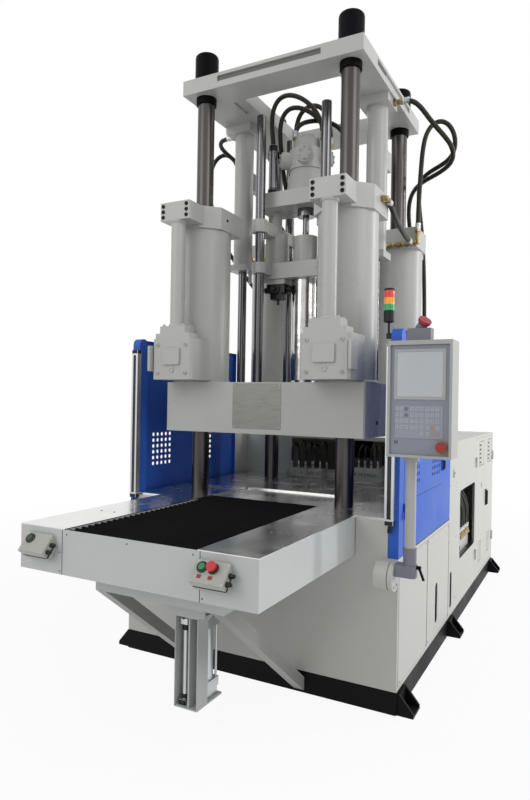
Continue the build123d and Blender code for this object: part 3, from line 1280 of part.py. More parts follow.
def make_motor_hoses():
    """Two hoses from the motor's ports, over in an arch and down to the crosshead."""
    low = CROSS_Z + CROSS_T
    outer = [(PORT_X, 673, PORT_TOP), (PORT_X, 673, 3305), (106, 655, 3385), (64, 634, 3455), (0, 614, 3514),
             (-72, 604, 3550), (-138, 604, 3556), (-190, 612, 3530), (-224, 626, 3476), (-236, 642, 3400),
             (-237, 660, 3315), (-237, 678, 3230), (-238, 700, 3150), (-241, 725, 3070), (-248, 748, 3005),
             (-256, 764, 2962), (-256, 764, low)]
    inner = [(PORT_X, 725, PORT_TOP), (PORT_X, 725, 3300), (100, 710, 3366), (56, 692, 3426), (-6, 672, 3470),
             (-70, 658, 3492), (-128, 656, 3486), (-172, 666, 3446), (-194, 682, 3388), (-202, 700, 3322),
             (-204, 720, 3250), (-204, 740, 3178), (-202, 760, 3105), (-197, 777, 3035), (-190, 790, 2975),
             (-190, 790, low)]
    pair = [tube([(px, back(d), pz) for px, d, pz in route], HOSE_R, name)
            for name, route in (("outer motor hose", outer), ("inner motor hose", inner))]
    save("hose_motor", *pair)


def main():
    make_base_frame()
    make_press_frame()
    make_lower_platen()
    make_front_housing()
    make_rear_housing()
    make_cabinet_doors()
    make_pump_unit()
    make_hose_manifold()
    make_pump_hoses()
    make_deck_plates()
    make_deck_manifolds()
    make_table_frame()
    make_table_covers()
    make_slide_rails()
    make_bellows()
    make_mould_plate()
    make_table_braces()
    make_ejector_bracket()
    make_ejector_cylinder()
    make_ejector_rod()
    make_tie_bars()
    make_tie_bar_nuts()
    make_clamp_pistons()
    make_top_plate()
    make_lift_cylinders()
    make_guard_posts()
    make_light_curtains()
    make_signal_tower()
    make_side_doors()
    make_hand_stations()
    make_station_buttons()
    make_arm_flange()
    make_arm_elbow()
    make_arm_pole()
    make_arm_lever()
    make_panel_housing()
    make_palm_station()
    make_moving_platen()
    make_clamp_cylinders()
    make_head_blocks()
    make_transfer_pipes()
    make_valve_blocks()
    make_guide_rods()
    make_lift_rods()
    make_injection_carriage()
    make_barrel()
    make_crosshead()
    make_screw_motor()
    make_screw_shaft()
    make_lift_hose()
    make_clamp_hose()
    make_head_hose()
    make_motor_hoses()


main()
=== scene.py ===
"""Dresses the vertical injection moulding machine, section by section as it is put together."""
import bpy
import math
import numpy as np
from mathutils import Matrix


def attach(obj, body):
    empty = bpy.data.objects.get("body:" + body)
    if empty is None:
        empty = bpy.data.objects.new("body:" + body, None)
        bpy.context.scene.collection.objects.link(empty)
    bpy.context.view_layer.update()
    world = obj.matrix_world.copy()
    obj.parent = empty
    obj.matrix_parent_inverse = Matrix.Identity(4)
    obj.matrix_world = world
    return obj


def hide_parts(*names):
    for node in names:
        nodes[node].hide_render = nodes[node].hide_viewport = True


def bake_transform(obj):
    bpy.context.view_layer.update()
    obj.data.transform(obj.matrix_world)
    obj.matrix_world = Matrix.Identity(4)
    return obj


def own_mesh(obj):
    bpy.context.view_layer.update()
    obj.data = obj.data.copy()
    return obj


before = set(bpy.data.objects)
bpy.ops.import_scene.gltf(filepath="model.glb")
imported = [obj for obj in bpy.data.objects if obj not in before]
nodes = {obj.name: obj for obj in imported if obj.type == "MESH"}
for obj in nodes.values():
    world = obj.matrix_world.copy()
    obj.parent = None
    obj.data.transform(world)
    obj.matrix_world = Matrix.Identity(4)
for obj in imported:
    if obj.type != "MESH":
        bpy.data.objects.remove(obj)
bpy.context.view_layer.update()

# The camera stands at eye level, to the operator's right, and looks slightly up at the machine.
# Its place and turn were found from the machine's straight edges.
EYE = (1.697, -4.6068, 1.550)
EYE_YAW = 0.48948
EYE_PITCH = 0.00169
EYE_ROLL = 0.01658
PHOTO_LENS = 27.843


def camera_turn(yaw, pitch, roll):
    """Columns right, up and back: a level turn about Z, then the pitch, then the roll."""
    ahead = np.array([-math.sin(yaw), math.cos(yaw), 0.0])
    right = np.array([math.cos(yaw), math.sin(yaw), 0.0])
    up = np.array([0.0, 0.0, 1.0])
    view = ahead * math.cos(pitch) + up * math.sin(pitch)
    top = up * math.cos(pitch) - ahead * math.sin(pitch)
    side = right * math.cos(roll) + top * math.sin(roll)
    top = top * math.cos(roll) - right * math.sin(roll)
    return np.column_stack([side, top, -view])


camera = bpy.data.objects.new("camera", bpy.data.cameras.new("camera"))
bpy.context.scene.collection.objects.link(camera)
camera.matrix_world = Matrix.Translation(EYE) @ Matrix(camera_turn(EYE_YAW, EYE_PITCH, EYE_ROLL)).to_4x4()
camera.data.sensor_width = 36
camera.data.lens = PHOTO_LENS
bpy.context.scene.camera = camera
bpy.context.scene.view_settings.view_transform = "Standard"

# Pale studio: a floor that fades to white away from the machine and stays plain under it, a plain
# world and soft lamps. The brightest stands to the operator's right, as the machine's right-hand faces
# are the lighter, and a tall narrow one behind it draws the thin highlights down the cylinders.
WORLD_LEVEL = 0.72
KEY_POWER = 105
FILL_POWER = 95
RIM_POWER = 120
FLOOR_COLOUR = (0.80, 0.80, 0.80, 1)
FLOOR_SIZE = 40.0
FLOOR_GLOW = 0.92
FADE_START = 2.0
FADE_END = 6.0
BASE_HALF_WIDTH = 0.85
BASE_HALF_LENGTH = 1.585


def node_tree(owner):
    """An empty node tree for a material or the world."""
    owner.use_nodes = True
    owner.node_tree.nodes.clear()
    return owner.node_tree


def shader_node(tree, kind, inputs=None, **settings):
    """A node of a kind, whose inputs get a fixed value, another node's output, or its first output."""
    node = tree.nodes.new("ShaderNode" + kind)
    for name, value in settings.items():
        setattr(node, name, value)
    for name, value in (inputs or {}).items():
        if isinstance(value, bpy.types.Node):
            value = value.outputs[0]
        if isinstance(value, bpy.types.NodeSocket):
            tree.links.new(value, node.inputs[name])
        else:
            node.inputs[name].default_value = value
    return node


def maths(tree, operation, first, second=0):
    """A Math node on two numbers or outputs."""
    return shader_node(tree, "Math", {0: first, 1: second}, operation=operation)


def seen_white(tree):
    """One where a ray comes from the camera, a reflection or clear plastic, and zero for light."""
    rays = shader_node(tree, "LightPath").outputs
    seen = rays["Is Camera Ray"]
    for kind in ("Is Glossy Ray", "Is Transmission Ray"):
        seen = maths(tree, "MAXIMUM", seen, rays[kind])
    return seen


world = bpy.data.worlds.new("studio")
bpy.context.scene.world = world
tree = node_tree(world)
world_light = shader_node(tree, "Background", {"Strength": WORLD_LEVEL})
world_white = shader_node(tree, "Background", {"Color": (1, 1, 1, 1)})
world_mix = shader_node(tree, "MixShader", {"Fac": seen_white(tree), 1: world_light, 2: world_white})
shader_node(tree, "OutputWorld", {"Surface": world_mix})

floor_mesh = bpy.data.meshes.new("floor")
half_floor = FLOOR_SIZE / 2
floor_mesh.from_pydata([(-half_floor, -half_floor, 0), (half_floor, -half_floor, 0),
                        (half_floor, half_floor, 0), (-half_floor, half_floor, 0)], [], [(0, 1, 2, 3)])
floor = bpy.data.objects.new("floor", floor_mesh)
bpy.context.scene.collection.objects.link(floor)
floor_paint = bpy.data.materials.new("floor_paint")
tree = node_tree(floor_paint)
floor_place = shader_node(tree, "TexCoord").outputs["Object"]
floor_distance = shader_node(tree, "VectorMath", {0: floor_place}, operation="LENGTH").outputs["Value"]
floor_fade = shader_node(tree, "MapRange", {"Value": floor_distance, "From Min": FADE_START,
                                            "From Max": FADE_END, "To Min": FLOOR_GLOW})
floor_sides = shader_node(tree, "SeparateXYZ", {0: floor_place}).outputs
past_base = 0
for side, half in (("X", BASE_HALF_WIDTH), ("Y", BASE_HALF_LENGTH)):
    past_side = maths(tree, "GREATER_THAN", maths(tree, "ABSOLUTE", floor_sides[side]), half)
    past_base = maths(tree, "MAXIMUM", past_side, past_base)
floor_white = maths(tree, "MULTIPLY", floor_fade, maths(tree, "MULTIPLY", seen_white(tree), past_base))
floor_diffuse = shader_node(tree, "BsdfDiffuse", {"Color": FLOOR_COLOUR})
floor_mix = shader_node(tree, "MixShader", {"Fac": floor_white, 1: floor_diffuse,
                                            2: shader_node(tree, "Emission")})
shader_node(tree, "OutputMaterial", {"Surface": floor_mix})
floor.data.materials.append(floor_paint)


def soft_lamp(name, place, aim, width, height, power):
    """A rectangular lamp at a place, turned so that its face looks at the aim."""
    lamp = bpy.data.objects.new(name, bpy.data.lights.new(name, "AREA"))
    bpy.context.scene.collection.objects.link(lamp)
    lamp.data.shape = "RECTANGLE"
    lamp.data.size = width
    lamp.data.size_y = height
    lamp.data.energy = power
    away = np.array(place, float) - np.array(aim, float)
    away /= np.linalg.norm(away)
    side = np.cross([0, 0, 1], away)
    side /= np.linalg.norm(side)
    lamp.matrix_world = Matrix.Translation(place) @ Matrix(
        np.column_stack([side, np.cross(away, side), away])).to_4x4()


soft_lamp("key_lamp", (6.5, -3.0, 5.0), (0, 0, 1.6), 3.5, 3.5, KEY_POWER)
soft_lamp("fill_lamp", (-3.0, -7.0, 4.5), (0, 0, 1.6), 4.0, 4.0, FILL_POWER)
soft_lamp("rim_lamp", (4.8, 2.6, 2.8), (0, -0.9, 2.2), 0.35, 4.5, RIM_POWER)

# Enamel of the castings and the sheet housings: a smooth light grey two-pack paint over steel,
# with the faint waviness of a sprayed coat and slightly cloudy gloss.
CLOUD_LOW = 0.3
CLOUD_HIGH = 0.7
BUMP_DEPTH = 0.002


def coat(name, colour, rough, metal=0.0, cloud=0.05, cloud_scale=2.5, peel=0.02, peel_scale=260.0,
         rough_spread=0.08, stretch=(1, 1, 1), shine=0.5):
    """A finish: one noise tints the colour and the gloss by a share, a finer one gives the bump."""
    finish = bpy.data.materials.new(name)
    tree = node_tree(finish)
    place = shader_node(tree, "TexCoord").outputs["Object"]
    scaled = shader_node(tree, "Mapping", {"Vector": place, "Scale": stretch})
    clouds = shader_node(tree, "TexNoise", {"Vector": scaled, "Scale": cloud_scale, "Detail": 5})
    tint = shader_node(tree, "ValToRGB", {"Fac": clouds})
    for end, level, share in zip(tint.color_ramp.elements, (CLOUD_LOW, CLOUD_HIGH), (1 - cloud, 1 + cloud)):
        end.position = level
        end.color = (*[min(1, c * share) for c in colour], 1)
    gloss = shader_node(tree, "MapRange", {
        "Value": clouds, "From Min": CLOUD_LOW, "From Max": CLOUD_HIGH,
        "To Min": max(0.02, rough - rough_spread), "To Max": rough + rough_spread})
    grain = shader_node(tree, "TexNoise", {"Vector": scaled, "Scale": peel_scale, "Detail": 2})
    bump = shader_node(tree, "Bump", {"Height": grain, "Strength": peel, "Distance": BUMP_DEPTH})
    shader = shader_node(tree, "BsdfPrincipled", {
        "Base Color": tint, "Roughness": gloss, "Normal": bump, "Metallic": metal,
        "Specular IOR Level": shine})
    shader_node(tree, "OutputMaterial", {"Surface": shader})
    return finish


def paint(finish, *names):
    """Give solids of the machine their finish in place of the plain one."""
    for name in names:
        solid = nodes[name].data
        solid.materials.clear()
        solid.materials.append(finish)


casting_enamel = coat("casting_enamel", (0.480, 0.485, 0.465), 0.32, cloud=0.03, shine=0.4)
housing_enamel = coat("housing_enamel", (0.530, 0.535, 0.505), 0.42, cloud=0.03)
table_enamel = coat("table_enamel", (0.545, 0.565, 0.560), 0.40, cloud=0.03)
brace_enamel = coat("brace_enamel", (0.300, 0.305, 0.290), 0.45)
tank_enamel = coat("tank_enamel", (0.42, 0.43, 0.42), 0.45)
base_enamel = coat("base_enamel", (0.006, 0.006, 0.007), 0.48, cloud=0.3, peel=0.06, shine=0.08)
cap_enamel = coat("cap_enamel", (0.004, 0.004, 0.005), 0.42, cloud=0.3, shine=0.05)
guard_enamel = coat("guard_enamel", (0.030, 0.120, 0.560), 0.50, cloud=0.04, peel=0.04, peel_scale=500,
                    shine=0.3)
panel_enamel = coat("panel_enamel", (0.400, 0.410, 0.395), 0.42, cloud=0.04, peel=0.12, peel_scale=900)
arm_enamel = coat("arm_enamel", (0.175, 0.180, 0.215), 0.45, peel=0.12, peel_scale=900)
pole_enamel = coat("pole_enamel", (0.420, 0.420, 0.405), 0.40, cloud=0.03, peel=0.05)
paint(casting_enamel, "lower_platen", "top_plate", "lift_cylinders", "moving_platen", "clamp_cylinders",
      "head_blocks", "transfer_pipes", "valve_blocks", "crosshead", "screw_motor")
paint(housing_enamel, "front_housing", "rear_housing", "cabinet_door_front", "cabinet_door_rear",
      "arm_flange", "deck_manifolds")
paint(table_enamel, "table_frame", "ejector_bracket", "table_covers")
paint(brace_enamel, "table_braces")
paint(tank_enamel, "pump_unit", "hose_manifold")
paint(base_enamel, "base_frame", "press_frame")
paint(cap_enamel, "tie_bar_nuts", "arm_lever")
paint(guard_enamel, "guard_posts", "side_door_right", "side_door_left")
paint(panel_enamel, "panel_housing", "hand_stations")
paint(arm_enamel, "arm_elbow", "palm_station")
paint(pole_enamel, "arm_pole")

# Injection carriage: the same grey casting, with a shut-off valve hung under it whose body was left
# in black, so one finish has a grey upper part and a black lower one.
VALVE_BLACK = (0.006, 0.006, 0.007, 1)
CARRIAGE_BOTTOM = 2.318


def principled(finish):
    """The node of a finish that holds its colour, gloss and bump."""
    return next(node for node in finish.node_tree.nodes if node.type == "BSDF_PRINCIPLED")


def black_below(name, finish, level):
    """The same enamel, with what hangs under a level of Object Z in black."""
    finish = finish.copy()
    finish.name = name
    tree = finish.node_tree
    colour = principled(finish).inputs["Base Color"]
    place = shader_node(tree, "TexCoord").outputs["Object"]
    height = shader_node(tree, "SeparateXYZ", {0: place}).outputs["Z"]
    choice = shader_node(tree, "Mix", data_type="RGBA")
    tree.links.new(maths(tree, "LESS_THAN", height, level).outputs[0], choice.inputs["Factor"])
    tree.links.new(colour.links[0].from_socket, choice.inputs["A"])
    choice.inputs["B"].default_value = VALVE_BLACK
    tree.links.new(choice.outputs["Result"], colour)
    return finish


paint(black_below("carriage_enamel", casting_enamel, CARRIAGE_BOTTOM), "injection_carriage")

# Bare metals: ground and chromed bars, polished deck sheet, drawn aluminium and the barrel's
# stainless shroud, which is thin sheet and a little wavy. The chromed and ground bars are near black
# with streaks along their length: a painted reflection of a dark room, with painted streaks of light.
tie_bar_chrome_painted_reflection = coat("tie_bar_chrome_painted_reflection", (0.082, 0.079, 0.075), 0.30, metal=1.0, cloud=0.30, cloud_scale=34,
                      rough_spread=0.06, peel=0.05, peel_scale=90, stretch=(1, 1, 0.02))
ground_chrome_painted_reflection = coat("ground_chrome_painted_reflection", (0.150, 0.150, 0.155), 0.20, metal=1.0, cloud=0.20, cloud_scale=40,
                     rough_spread=0.05, peel=0.05, peel_scale=90, stretch=(1, 1, 0.02))
deck_sheet = coat("deck_sheet", (0.74, 0.74, 0.73), 0.24, metal=1.0, cloud=0.10, cloud_scale=5,
                  rough_spread=0.07, peel=0.06, peel_scale=60)
drawn_aluminium = coat("drawn_aluminium", (0.58, 0.59, 0.60), 0.38, metal=1.0, peel=0.05, peel_scale=180)
wavy_stainless = coat("wavy_stainless", (0.55, 0.54, 0.52), 0.16, metal=1.0, cloud=0.12, cloud_scale=9,
                      peel=1.0, peel_scale=14)
paint(tie_bar_chrome_painted_reflection, "tie_bars")
paint(ground_chrome_painted_reflection, "guide_rods", "lift_rods", "screw_shaft", "clamp_pistons", "ejector_rod")
paint(deck_sheet, "deck_plates", "mould_plate", "slide_rails")
paint(drawn_aluminium, "ejector_cylinder", "light_curtains")
paint(wavy_stainless, "barrel_shroud", "barrel")

# Buttons: glossy moulded caps, green for start and red for stop. The left-hand start button is the
# darker one, and the two large stop buttons are duller and browner than the small one.
button_green = coat("button_green", (0.010, 0.22, 0.085), 0.28, cloud=0.06)
button_dark = coat("button_dark", (0.004, 0.060, 0.024), 0.28, cloud=0.06)
button_red = coat("button_red", (0.60, 0.016, 0.020), 0.32, cloud=0.06)
stop_red = coat("stop_red", (0.34, 0.020, 0.024), 0.38, cloud=0.06)
palm_red = coat("palm_red", (0.33, 0.012, 0.034), 0.38, cloud=0.06)
paint(button_dark, "start_button_left")
paint(button_green, "start_button_right")
paint(button_red, "stop_button_right")
paint(stop_red, "panel_stop")
paint(palm_red, "palm_button")

# Hydraulic hoses: rubber over wire braid, cloth-wrapped when cured, so a fine helical print stays
# on the cover. Each is one smooth line through the points of its route, which are given as the place
# across, the setback behind the front face and the height, in millimetres.
HOSE_R = 15
FRONT_Y = -1585
WRAP_SCALE = 60
WRAP_PRINT = 0.35
WRAP_DEPTH = 0.0006
OBLIQUE = (0.31, 0.77, 0.56)


def wrapped_rubber():
    """Rubber whose bump is a fine cross print, read from the hose's own length and girth."""
    rubber = coat("hose_rubber", (0.022, 0.019, 0.012), 0.36, cloud=0.25, cloud_scale=20, shine=0.25)
    tree = rubber.node_tree
    cover = shader_node(tree, "TexCoord").outputs["UV"]
    wrap = shader_node(tree, "TexWave", {"Vector": cover, "Scale": WRAP_SCALE}, wave_type="BANDS",
                       bands_direction="DIAGONAL")
    bump = shader_node(tree, "Bump", {"Height": wrap.outputs["Fac"], "Strength": WRAP_PRINT,
                                      "Distance": WRAP_DEPTH})
    tree.links.new(bump.outputs[0], principled(rubber).inputs["Normal"])
    return rubber


hose_rubber = wrapped_rubber()


def back(setback):
    """Y of a place so far behind the front face."""
    return FRONT_Y + setback


def in_place(route):
    """A route's points with each setback turned to Y."""
    return np.array(route, float) + (0, FRONT_Y, 0)


def hose_line(name, route):
    """Points of a smooth curve of order 3 whose control points are the route, in metres."""
    line = bpy.data.curves.new(name + "_line", "CURVE")
    line.dimensions = "3D"
    line.resolution_u = 12
    spline = line.splines.new("NURBS")
    spline.points.add(len(route) - 1)
    control = np.ones((len(route), 4))
    control[:, :3] = in_place(route) / 1000
    spline.points.foreach_set("co", control.ravel())
    spline.order_u = 3
    spline.use_endpoint_u = True
    holder = bpy.data.objects.new(name + "_line", line)
    bpy.context.scene.collection.objects.link(holder)
    sampled = bpy.data.meshes.new_from_object(holder)
    points = np.zeros(len(sampled.vertices) * 3)
    sampled.vertices.foreach_get("co", points)
    bpy.data.objects.remove(holder)
    return points.reshape(-1, 3)


def tube_frames(points):
    """Two directions across a line at each point, turned as little as possible along it."""
    ahead = np.gradient(points, axis=0)
    ahead /= np.linalg.norm(ahead, axis=1, keepdims=True)
    side = np.cross(ahead[0], OBLIQUE)
    sides = []
    for direction in ahead:
        side = side - direction * (side @ direction)
        side /= np.linalg.norm(side)
        sides.append(side)
    sides = np.array(sides)
    return sides, np.cross(ahead, sides)


def ring_faces(rows, girth):
    """Four-sided faces between rows of points round a closed outline, and a face over each end."""
    index = np.arange(rows * girth).reshape(rows, girth)
    following = np.roll(index, -1, axis=1)
    sides = np.stack([index[:-1], following[:-1], following[1:], index[1:]], -1).reshape(-1, 4)
    return sides.tolist() + [index[0][::-1].tolist(), index[-1].tolist()]


def round_tube(name, points, radius, girth=20):
    """A circle carried along a line: point + radius * (side * cos + other side * sin)."""
    across, other = tube_frames(points)
    angle = np.arange(girth) * 2 * math.pi / girth
    ring = across[:, None] * np.cos(angle)[None, :, None] + other[:, None] * np.sin(angle)[None, :, None]
    grid = points[:, None] + radius * ring
    mesh = bpy.data.meshes.new(name)
    mesh.from_pydata(grid.reshape(-1, 3), [], ring_faces(len(points), girth))
    length = np.concatenate([[0], np.cumsum(np.linalg.norm(np.diff(points, axis=0), axis=1))])
    uv = mesh.uv_layers.new(name="along")
    corner = np.zeros(len(mesh.loops), int)
    mesh.loops.foreach_get("vertex_index", corner)
    around = (corner % girth) / girth
    quad_start = (np.arange(len(mesh.loops)) // 4) % girth
    wraps = (quad_start == girth - 1) & (corner % girth == 0)
    uv.data.foreach_set("uv", np.column_stack([length[corner // girth],
                                               (around + wraps) * 2 * math.pi * radius]).ravel())
    mesh.shade_smooth()
    tube = bpy.data.objects.new(name, mesh)
    bpy.context.scene.collection.objects.link(tube)
    return tube


def lay_hose(name, route, radius, body=None, solid=None):
    """Make one hose along its route, ride it on a body if one is given, and hide the solid it stands for.
    """
    points = hose_line(name, route)
    hose = round_tube(name, points, radius / 1000)
    hose.data.materials.append(hose_rubber)
    if body:
        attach(hose, body)
    if solid:
        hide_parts(solid)
    return hose


LIFT_ROUTE = [(611, 725, 3412), (651, 725, 3412), (696, 740, 3402), (732, 772, 3370), (764, 814, 3324),
              (802, 864, 3276), (844, 918, 3230), (876, 972, 3184), (880, 1026, 3140), (846, 1078, 3108),
              (784, 1126, 3090), (712, 1172, 3080), (636, 1220, 3072), (566, 1276, 3050),
              (514, 1344, 3006), (486, 1416, 2930), (480, 1486, 2820), (482, 1538, 2680),
              (488, 1575, 2510), (494, 1594, 2300), (498, 1600, 2050), (499, 1594, 1800),
              (497, 1580, 1590), (492, 1556, 1440), (492, 1556, 1335)]
CLAMP_ROUTE = [(668, 985, 2662), (668, 985, 2745), (669, 991, 2850), (672, 1001, 2975), (676, 1012, 3100),
               (681, 1024, 3210), (694, 1038, 3304), (723, 1056, 3372), (768, 1074, 3404),
               (816, 1094, 3394), (852, 1118, 3348), (866, 1144, 3286), (854, 1172, 3226),
               (812, 1200, 3186), (752, 1228, 3166), (688, 1260, 3154), (626, 1302, 3140),
               (578, 1360, 3110), (554, 1428, 3054), (547, 1496, 2965), (551, 1551, 2830),
               (558, 1588, 2640), (563, 1606, 2420), (566, 1612, 2170), (566, 1606, 1920),
               (562, 1592, 1690), (552, 1556, 1490), (552, 1556, 1335)]
LEFT_LIFT_ROUTE = [(-576, 725, 3412), (-650, 725, 3412), (-696, 736, 3406), (-722, 768, 3396),
                   (-728, 812, 3380), (-708, 856, 3354), (-668, 896, 3316), (-630, 938, 3270),
                   (-608, 990, 3216), (-602, 1052, 3160), (-600, 1124, 3108), (-588, 1202, 3058),
                   (-560, 1284, 3004), (-524, 1362, 2940), (-498, 1434, 2860), (-486, 1496, 2760),
                   (-484, 1545, 2630), (-488, 1578, 2470), (-494, 1594, 2280), (-498, 1600, 2050),
                   (-499, 1594, 1800), (-497, 1580, 1590), (-492, 1556, 1430), (-492, 1556, 1312)]
LEFT_CLAMP_ROUTE = [(-662, 991, 2662), (-664, 990, 2745), (-667, 989, 2850), (-671, 992, 2960),
                    (-673, 994, 3070), (-675, 990, 3170), (-684, 980, 3262), (-708, 964, 3340),
                    (-752, 944, 3390), (-806, 922, 3396), (-854, 904, 3352), (-882, 894, 3280),
                    (-892, 896, 3190), (-896, 912, 3085), (-892, 944, 2975), (-880, 992, 2865),
                    (-858, 1056, 2760), (-824, 1134, 2660), (-780, 1222, 2560), (-730, 1316, 2455),
                    (-680, 1406, 2340), (-636, 1484, 2210), (-602, 1544, 2060), (-580, 1576, 1890),
                    (-566, 1580, 1720), (-556, 1568, 1560), (-552, 1556, 1430), (-552, 1556, 1312)]
HEAD_ROUTE = [(672, 296, 2668), (672, 345, 2668), (666, 440, 2638), (656, 545, 2620), (647, 660, 2608),
              (638, 770, 2601), (630, 870, 2598), (630, 955, 2598)]
lay_hose("lift_hose", LIFT_ROUTE, HOSE_R, "frame", "hose_lift")
clamp_hose = lay_hose("clamp_hose", CLAMP_ROUTE, HOSE_R, None, "hose_clamp")
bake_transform(clamp_hose)
lay_hose("left_lift_hose", LEFT_LIFT_ROUTE, HOSE_R, "frame")
left_clamp_hose = lay_hose("left_clamp_hose", LEFT_CLAMP_ROUTE, HOSE_R)
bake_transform(left_clamp_hose)
lay_hose("head_hose", HEAD_ROUTE, HOSE_R, "platen", "hose_head")

# Motor hoses: four of the same rubber hoses in arches over the screw motor, screwed on its cap and
# ports and on the crosshead's top face, so that they travel with it whole.
OUTER_ROUTE = [(122, 673, 3240), (122, 673, 3305), (106, 655, 3385), (64, 634, 3455), (0, 614, 3514),
               (-72, 604, 3550), (-138, 604, 3556), (-190, 612, 3530), (-224, 626, 3476),
               (-236, 642, 3400), (-237, 660, 3315), (-237, 678, 3230), (-238, 700, 3150),
               (-241, 725, 3070), (-248, 748, 3005), (-256, 764, 2962), (-256, 764, 2917)]
INNER_ROUTE = [(122, 725, 3240), (122, 725, 3300), (100, 710, 3366), (56, 692, 3426), (-6, 672, 3470),
               (-70, 658, 3492), (-128, 656, 3486), (-172, 666, 3446), (-194, 682, 3388),
               (-202, 700, 3322), (-204, 720, 3250), (-204, 740, 3178), (-202, 760, 3105),
               (-197, 777, 3035), (-190, 790, 2975), (-190, 790, 2917)]
CAP_ROUTE = [(150, 735, 3215), (150, 735, 3282), (142, 741, 3352), (124, 745, 3424), (88, 746, 3486),
             (34, 746, 3522), (-30, 746, 3522), (-82, 750, 3482), (-110, 758, 3418), (-120, 768, 3346),
             (-116, 777, 3278), (-110, 781, 3222), (-110, 781, 3172)]
CROSS_ROUTE = [(-60, 640, 3263), (-60, 640, 3314), (-46, 654, 3362), (-6, 686, 3394), (62, 736, 3410),
               (136, 784, 3398), (192, 810, 3356), (222, 820, 3290), (231, 820, 3206), (232, 814, 3116),
               (232, 804, 3030), (232, 800, 2975), (232, 800, 2918)]
lay_hose("outer_motor_hose", OUTER_ROUTE, HOSE_R, "crosshead", "hose_motor")
lay_hose("inner_motor_hose", INNER_ROUTE, HOSE_R, "crosshead", "hose_motor")
lay_hose("cap_motor_hose", CAP_ROUTE, HOSE_R, "crosshead")
lay_hose("cross_motor_hose", CROSS_ROUTE, HOSE_R, "crosshead")

# Pump hoses: four thick rubber ones that rise from the manifold behind the side opening to the
# distributor over it, all bent alike, one beside the other.
PUMP_HOSES = 4
PUMP_HOSE_R = 17
PUMP_ROUTES = []
for number in range(PUMP_HOSES):
    setback = 1720 + 110 * number
    PUMP_ROUTES.append([(700, setback, 575), (700, setback, 655), (718, setback + 8, 750),
                        (706, setback + 30, 840), (666, setback + 50, 905), (630, setback + 60, 960),
                        (630, setback + 60, 1015)])
for number, route in enumerate(PUMP_ROUTES):
    lay_hose(f"pump_hose_{number + 1}", route, PUMP_HOSE_R, "frame", "pump_hoses")

# Water hoses of the mould circuits: nine thin rubber ones that rise from the port blocks behind the
# deck, bend over through the opening in the rear housing's wall and go down to the header there.
CIRCUIT_HOSE_R = 7
PORT_BLOCKS = ((-431, -258, 58, 3), (-250, -135, 62, 2), (125, 318, 92, 4))
DECK_TOP = 973
CIRCUIT_BLOCK = 1394
CIRCUIT_HEADER = 1524
HEADER_NIPPLE = 1044
NIPPLE_LENGTH = 24
CRESTS = (1215, 1237, 1226)
LEANS = (-7, 5, 8)
CIRCUIT_ROUTES = []
for first, last, height, ports in PORT_BLOCKS:
    for port in range(ports):
        x = first + (last - first) / ports * (port + 0.5)
        nipple = DECK_TOP + height + NIPPLE_LENGTH
        crest = CRESTS[len(CIRCUIT_ROUTES) % 3]
        lean = x + LEANS[len(CIRCUIT_ROUTES) % 3]
        CIRCUIT_ROUTES.append([
            (x, CIRCUIT_BLOCK, nipple), (x, CIRCUIT_BLOCK, crest - 92), (x, CIRCUIT_BLOCK, crest - 38),
            (lean, 1432, crest), (lean, 1486, crest), (x, CIRCUIT_HEADER, crest - 38),
            (x, CIRCUIT_HEADER, crest - 92), (x, CIRCUIT_HEADER, HEADER_NIPPLE)])
for number, route in enumerate(CIRCUIT_ROUTES):
    lay_hose(f"circuit_hose_{number + 1}", route, CIRCUIT_HOSE_R, "frame", "pump_hoses")

# Valve hoses in the side opening: five more rubber hoses, screwed on the pump manifold's right face
# and on the distributor, leaning forwards as they rise, right behind the opening.
SIDE_ROUTES = []
for number, foot in enumerate((1800, 1884, 1966, 2050, 2130)):
    bulge = 804 + 6 * (number % 2)
    SIDE_ROUTES.append([(800, foot, 566), (801, foot, 626), (bulge, foot - 8, 694), (bulge, foot - 32, 764),
                        (790, foot - 68, 830), (758, foot - 102, 892), (720, foot - 124, 948),
                        (700, foot - 130, 996), (700, foot - 130, 1040)])
for number, route in enumerate(SIDE_ROUTES):
    lay_hose(f"side_hose_{number + 1}", route, HOSE_R, "frame")

# Head blocks: blackened cap screws in the counterbores of each ear, four large ones that hold the
# head down on its cylinder, and a black plastic wiper ring round the tie bar. Turned fittings, here
# and below, are a profile in millimetres that is carried round an axis.
CLAMP_Y = -886
TIE_X = 478
TIE_Y = 483
HEAD_TOP = 2712
HEAD_SCREW_OUT = 118
EAR_TOP = 2704
EAR_FACE = 796
EAR_FLANK = 175
EAR_SCREW_ACROSS = 82
EAR_SCREW_MIDDLE = EAR_TOP - 53
EAR_SCREW_PITCH = 32
EAR_PLUG_Z = 2649
COUNTERBORE = 14
TIES = [(sx * TIE_X, CLAMP_Y + sy * TIE_Y, sx, sy) for sx in (-1, 1) for sy in (-1, 1)]
SIDES = {-1: "left", 1: "right"}
ENDS = {-1: "front", 1: "rear"}
FACINGS = {"up": ((1, 0, 0), (0, 1, 0), (0, 0, 1)), "down": ((1, 0, 0), (0, -1, 0), (0, 0, -1)),
           "front": ((1, 0, 0), (0, 0, 1), (0, -1, 0)), "rear": ((-1, 0, 0), (0, 0, 1), (0, 1, 0)),
           "right": ((0, 1, 0), (0, 0, 1), (1, 0, 0)), "left": ((0, -1, 0), (0, 0, 1), (-1, 0, 0))}


def turned(profile, girth=32):
    """A profile of (radius, height) pairs carried round Z: x = r cos, y = r sin, z = height."""
    radius, height = np.array(profile, float).T
    angle = np.arange(girth) * 2 * math.pi / girth
    points = np.stack([radius[:, None] * np.cos(angle), radius[:, None] * np.sin(angle),
                       np.repeat(height[:, None], girth, axis=1)], -1)
    return points.reshape(-1, 3), ring_faces(len(radius), girth)


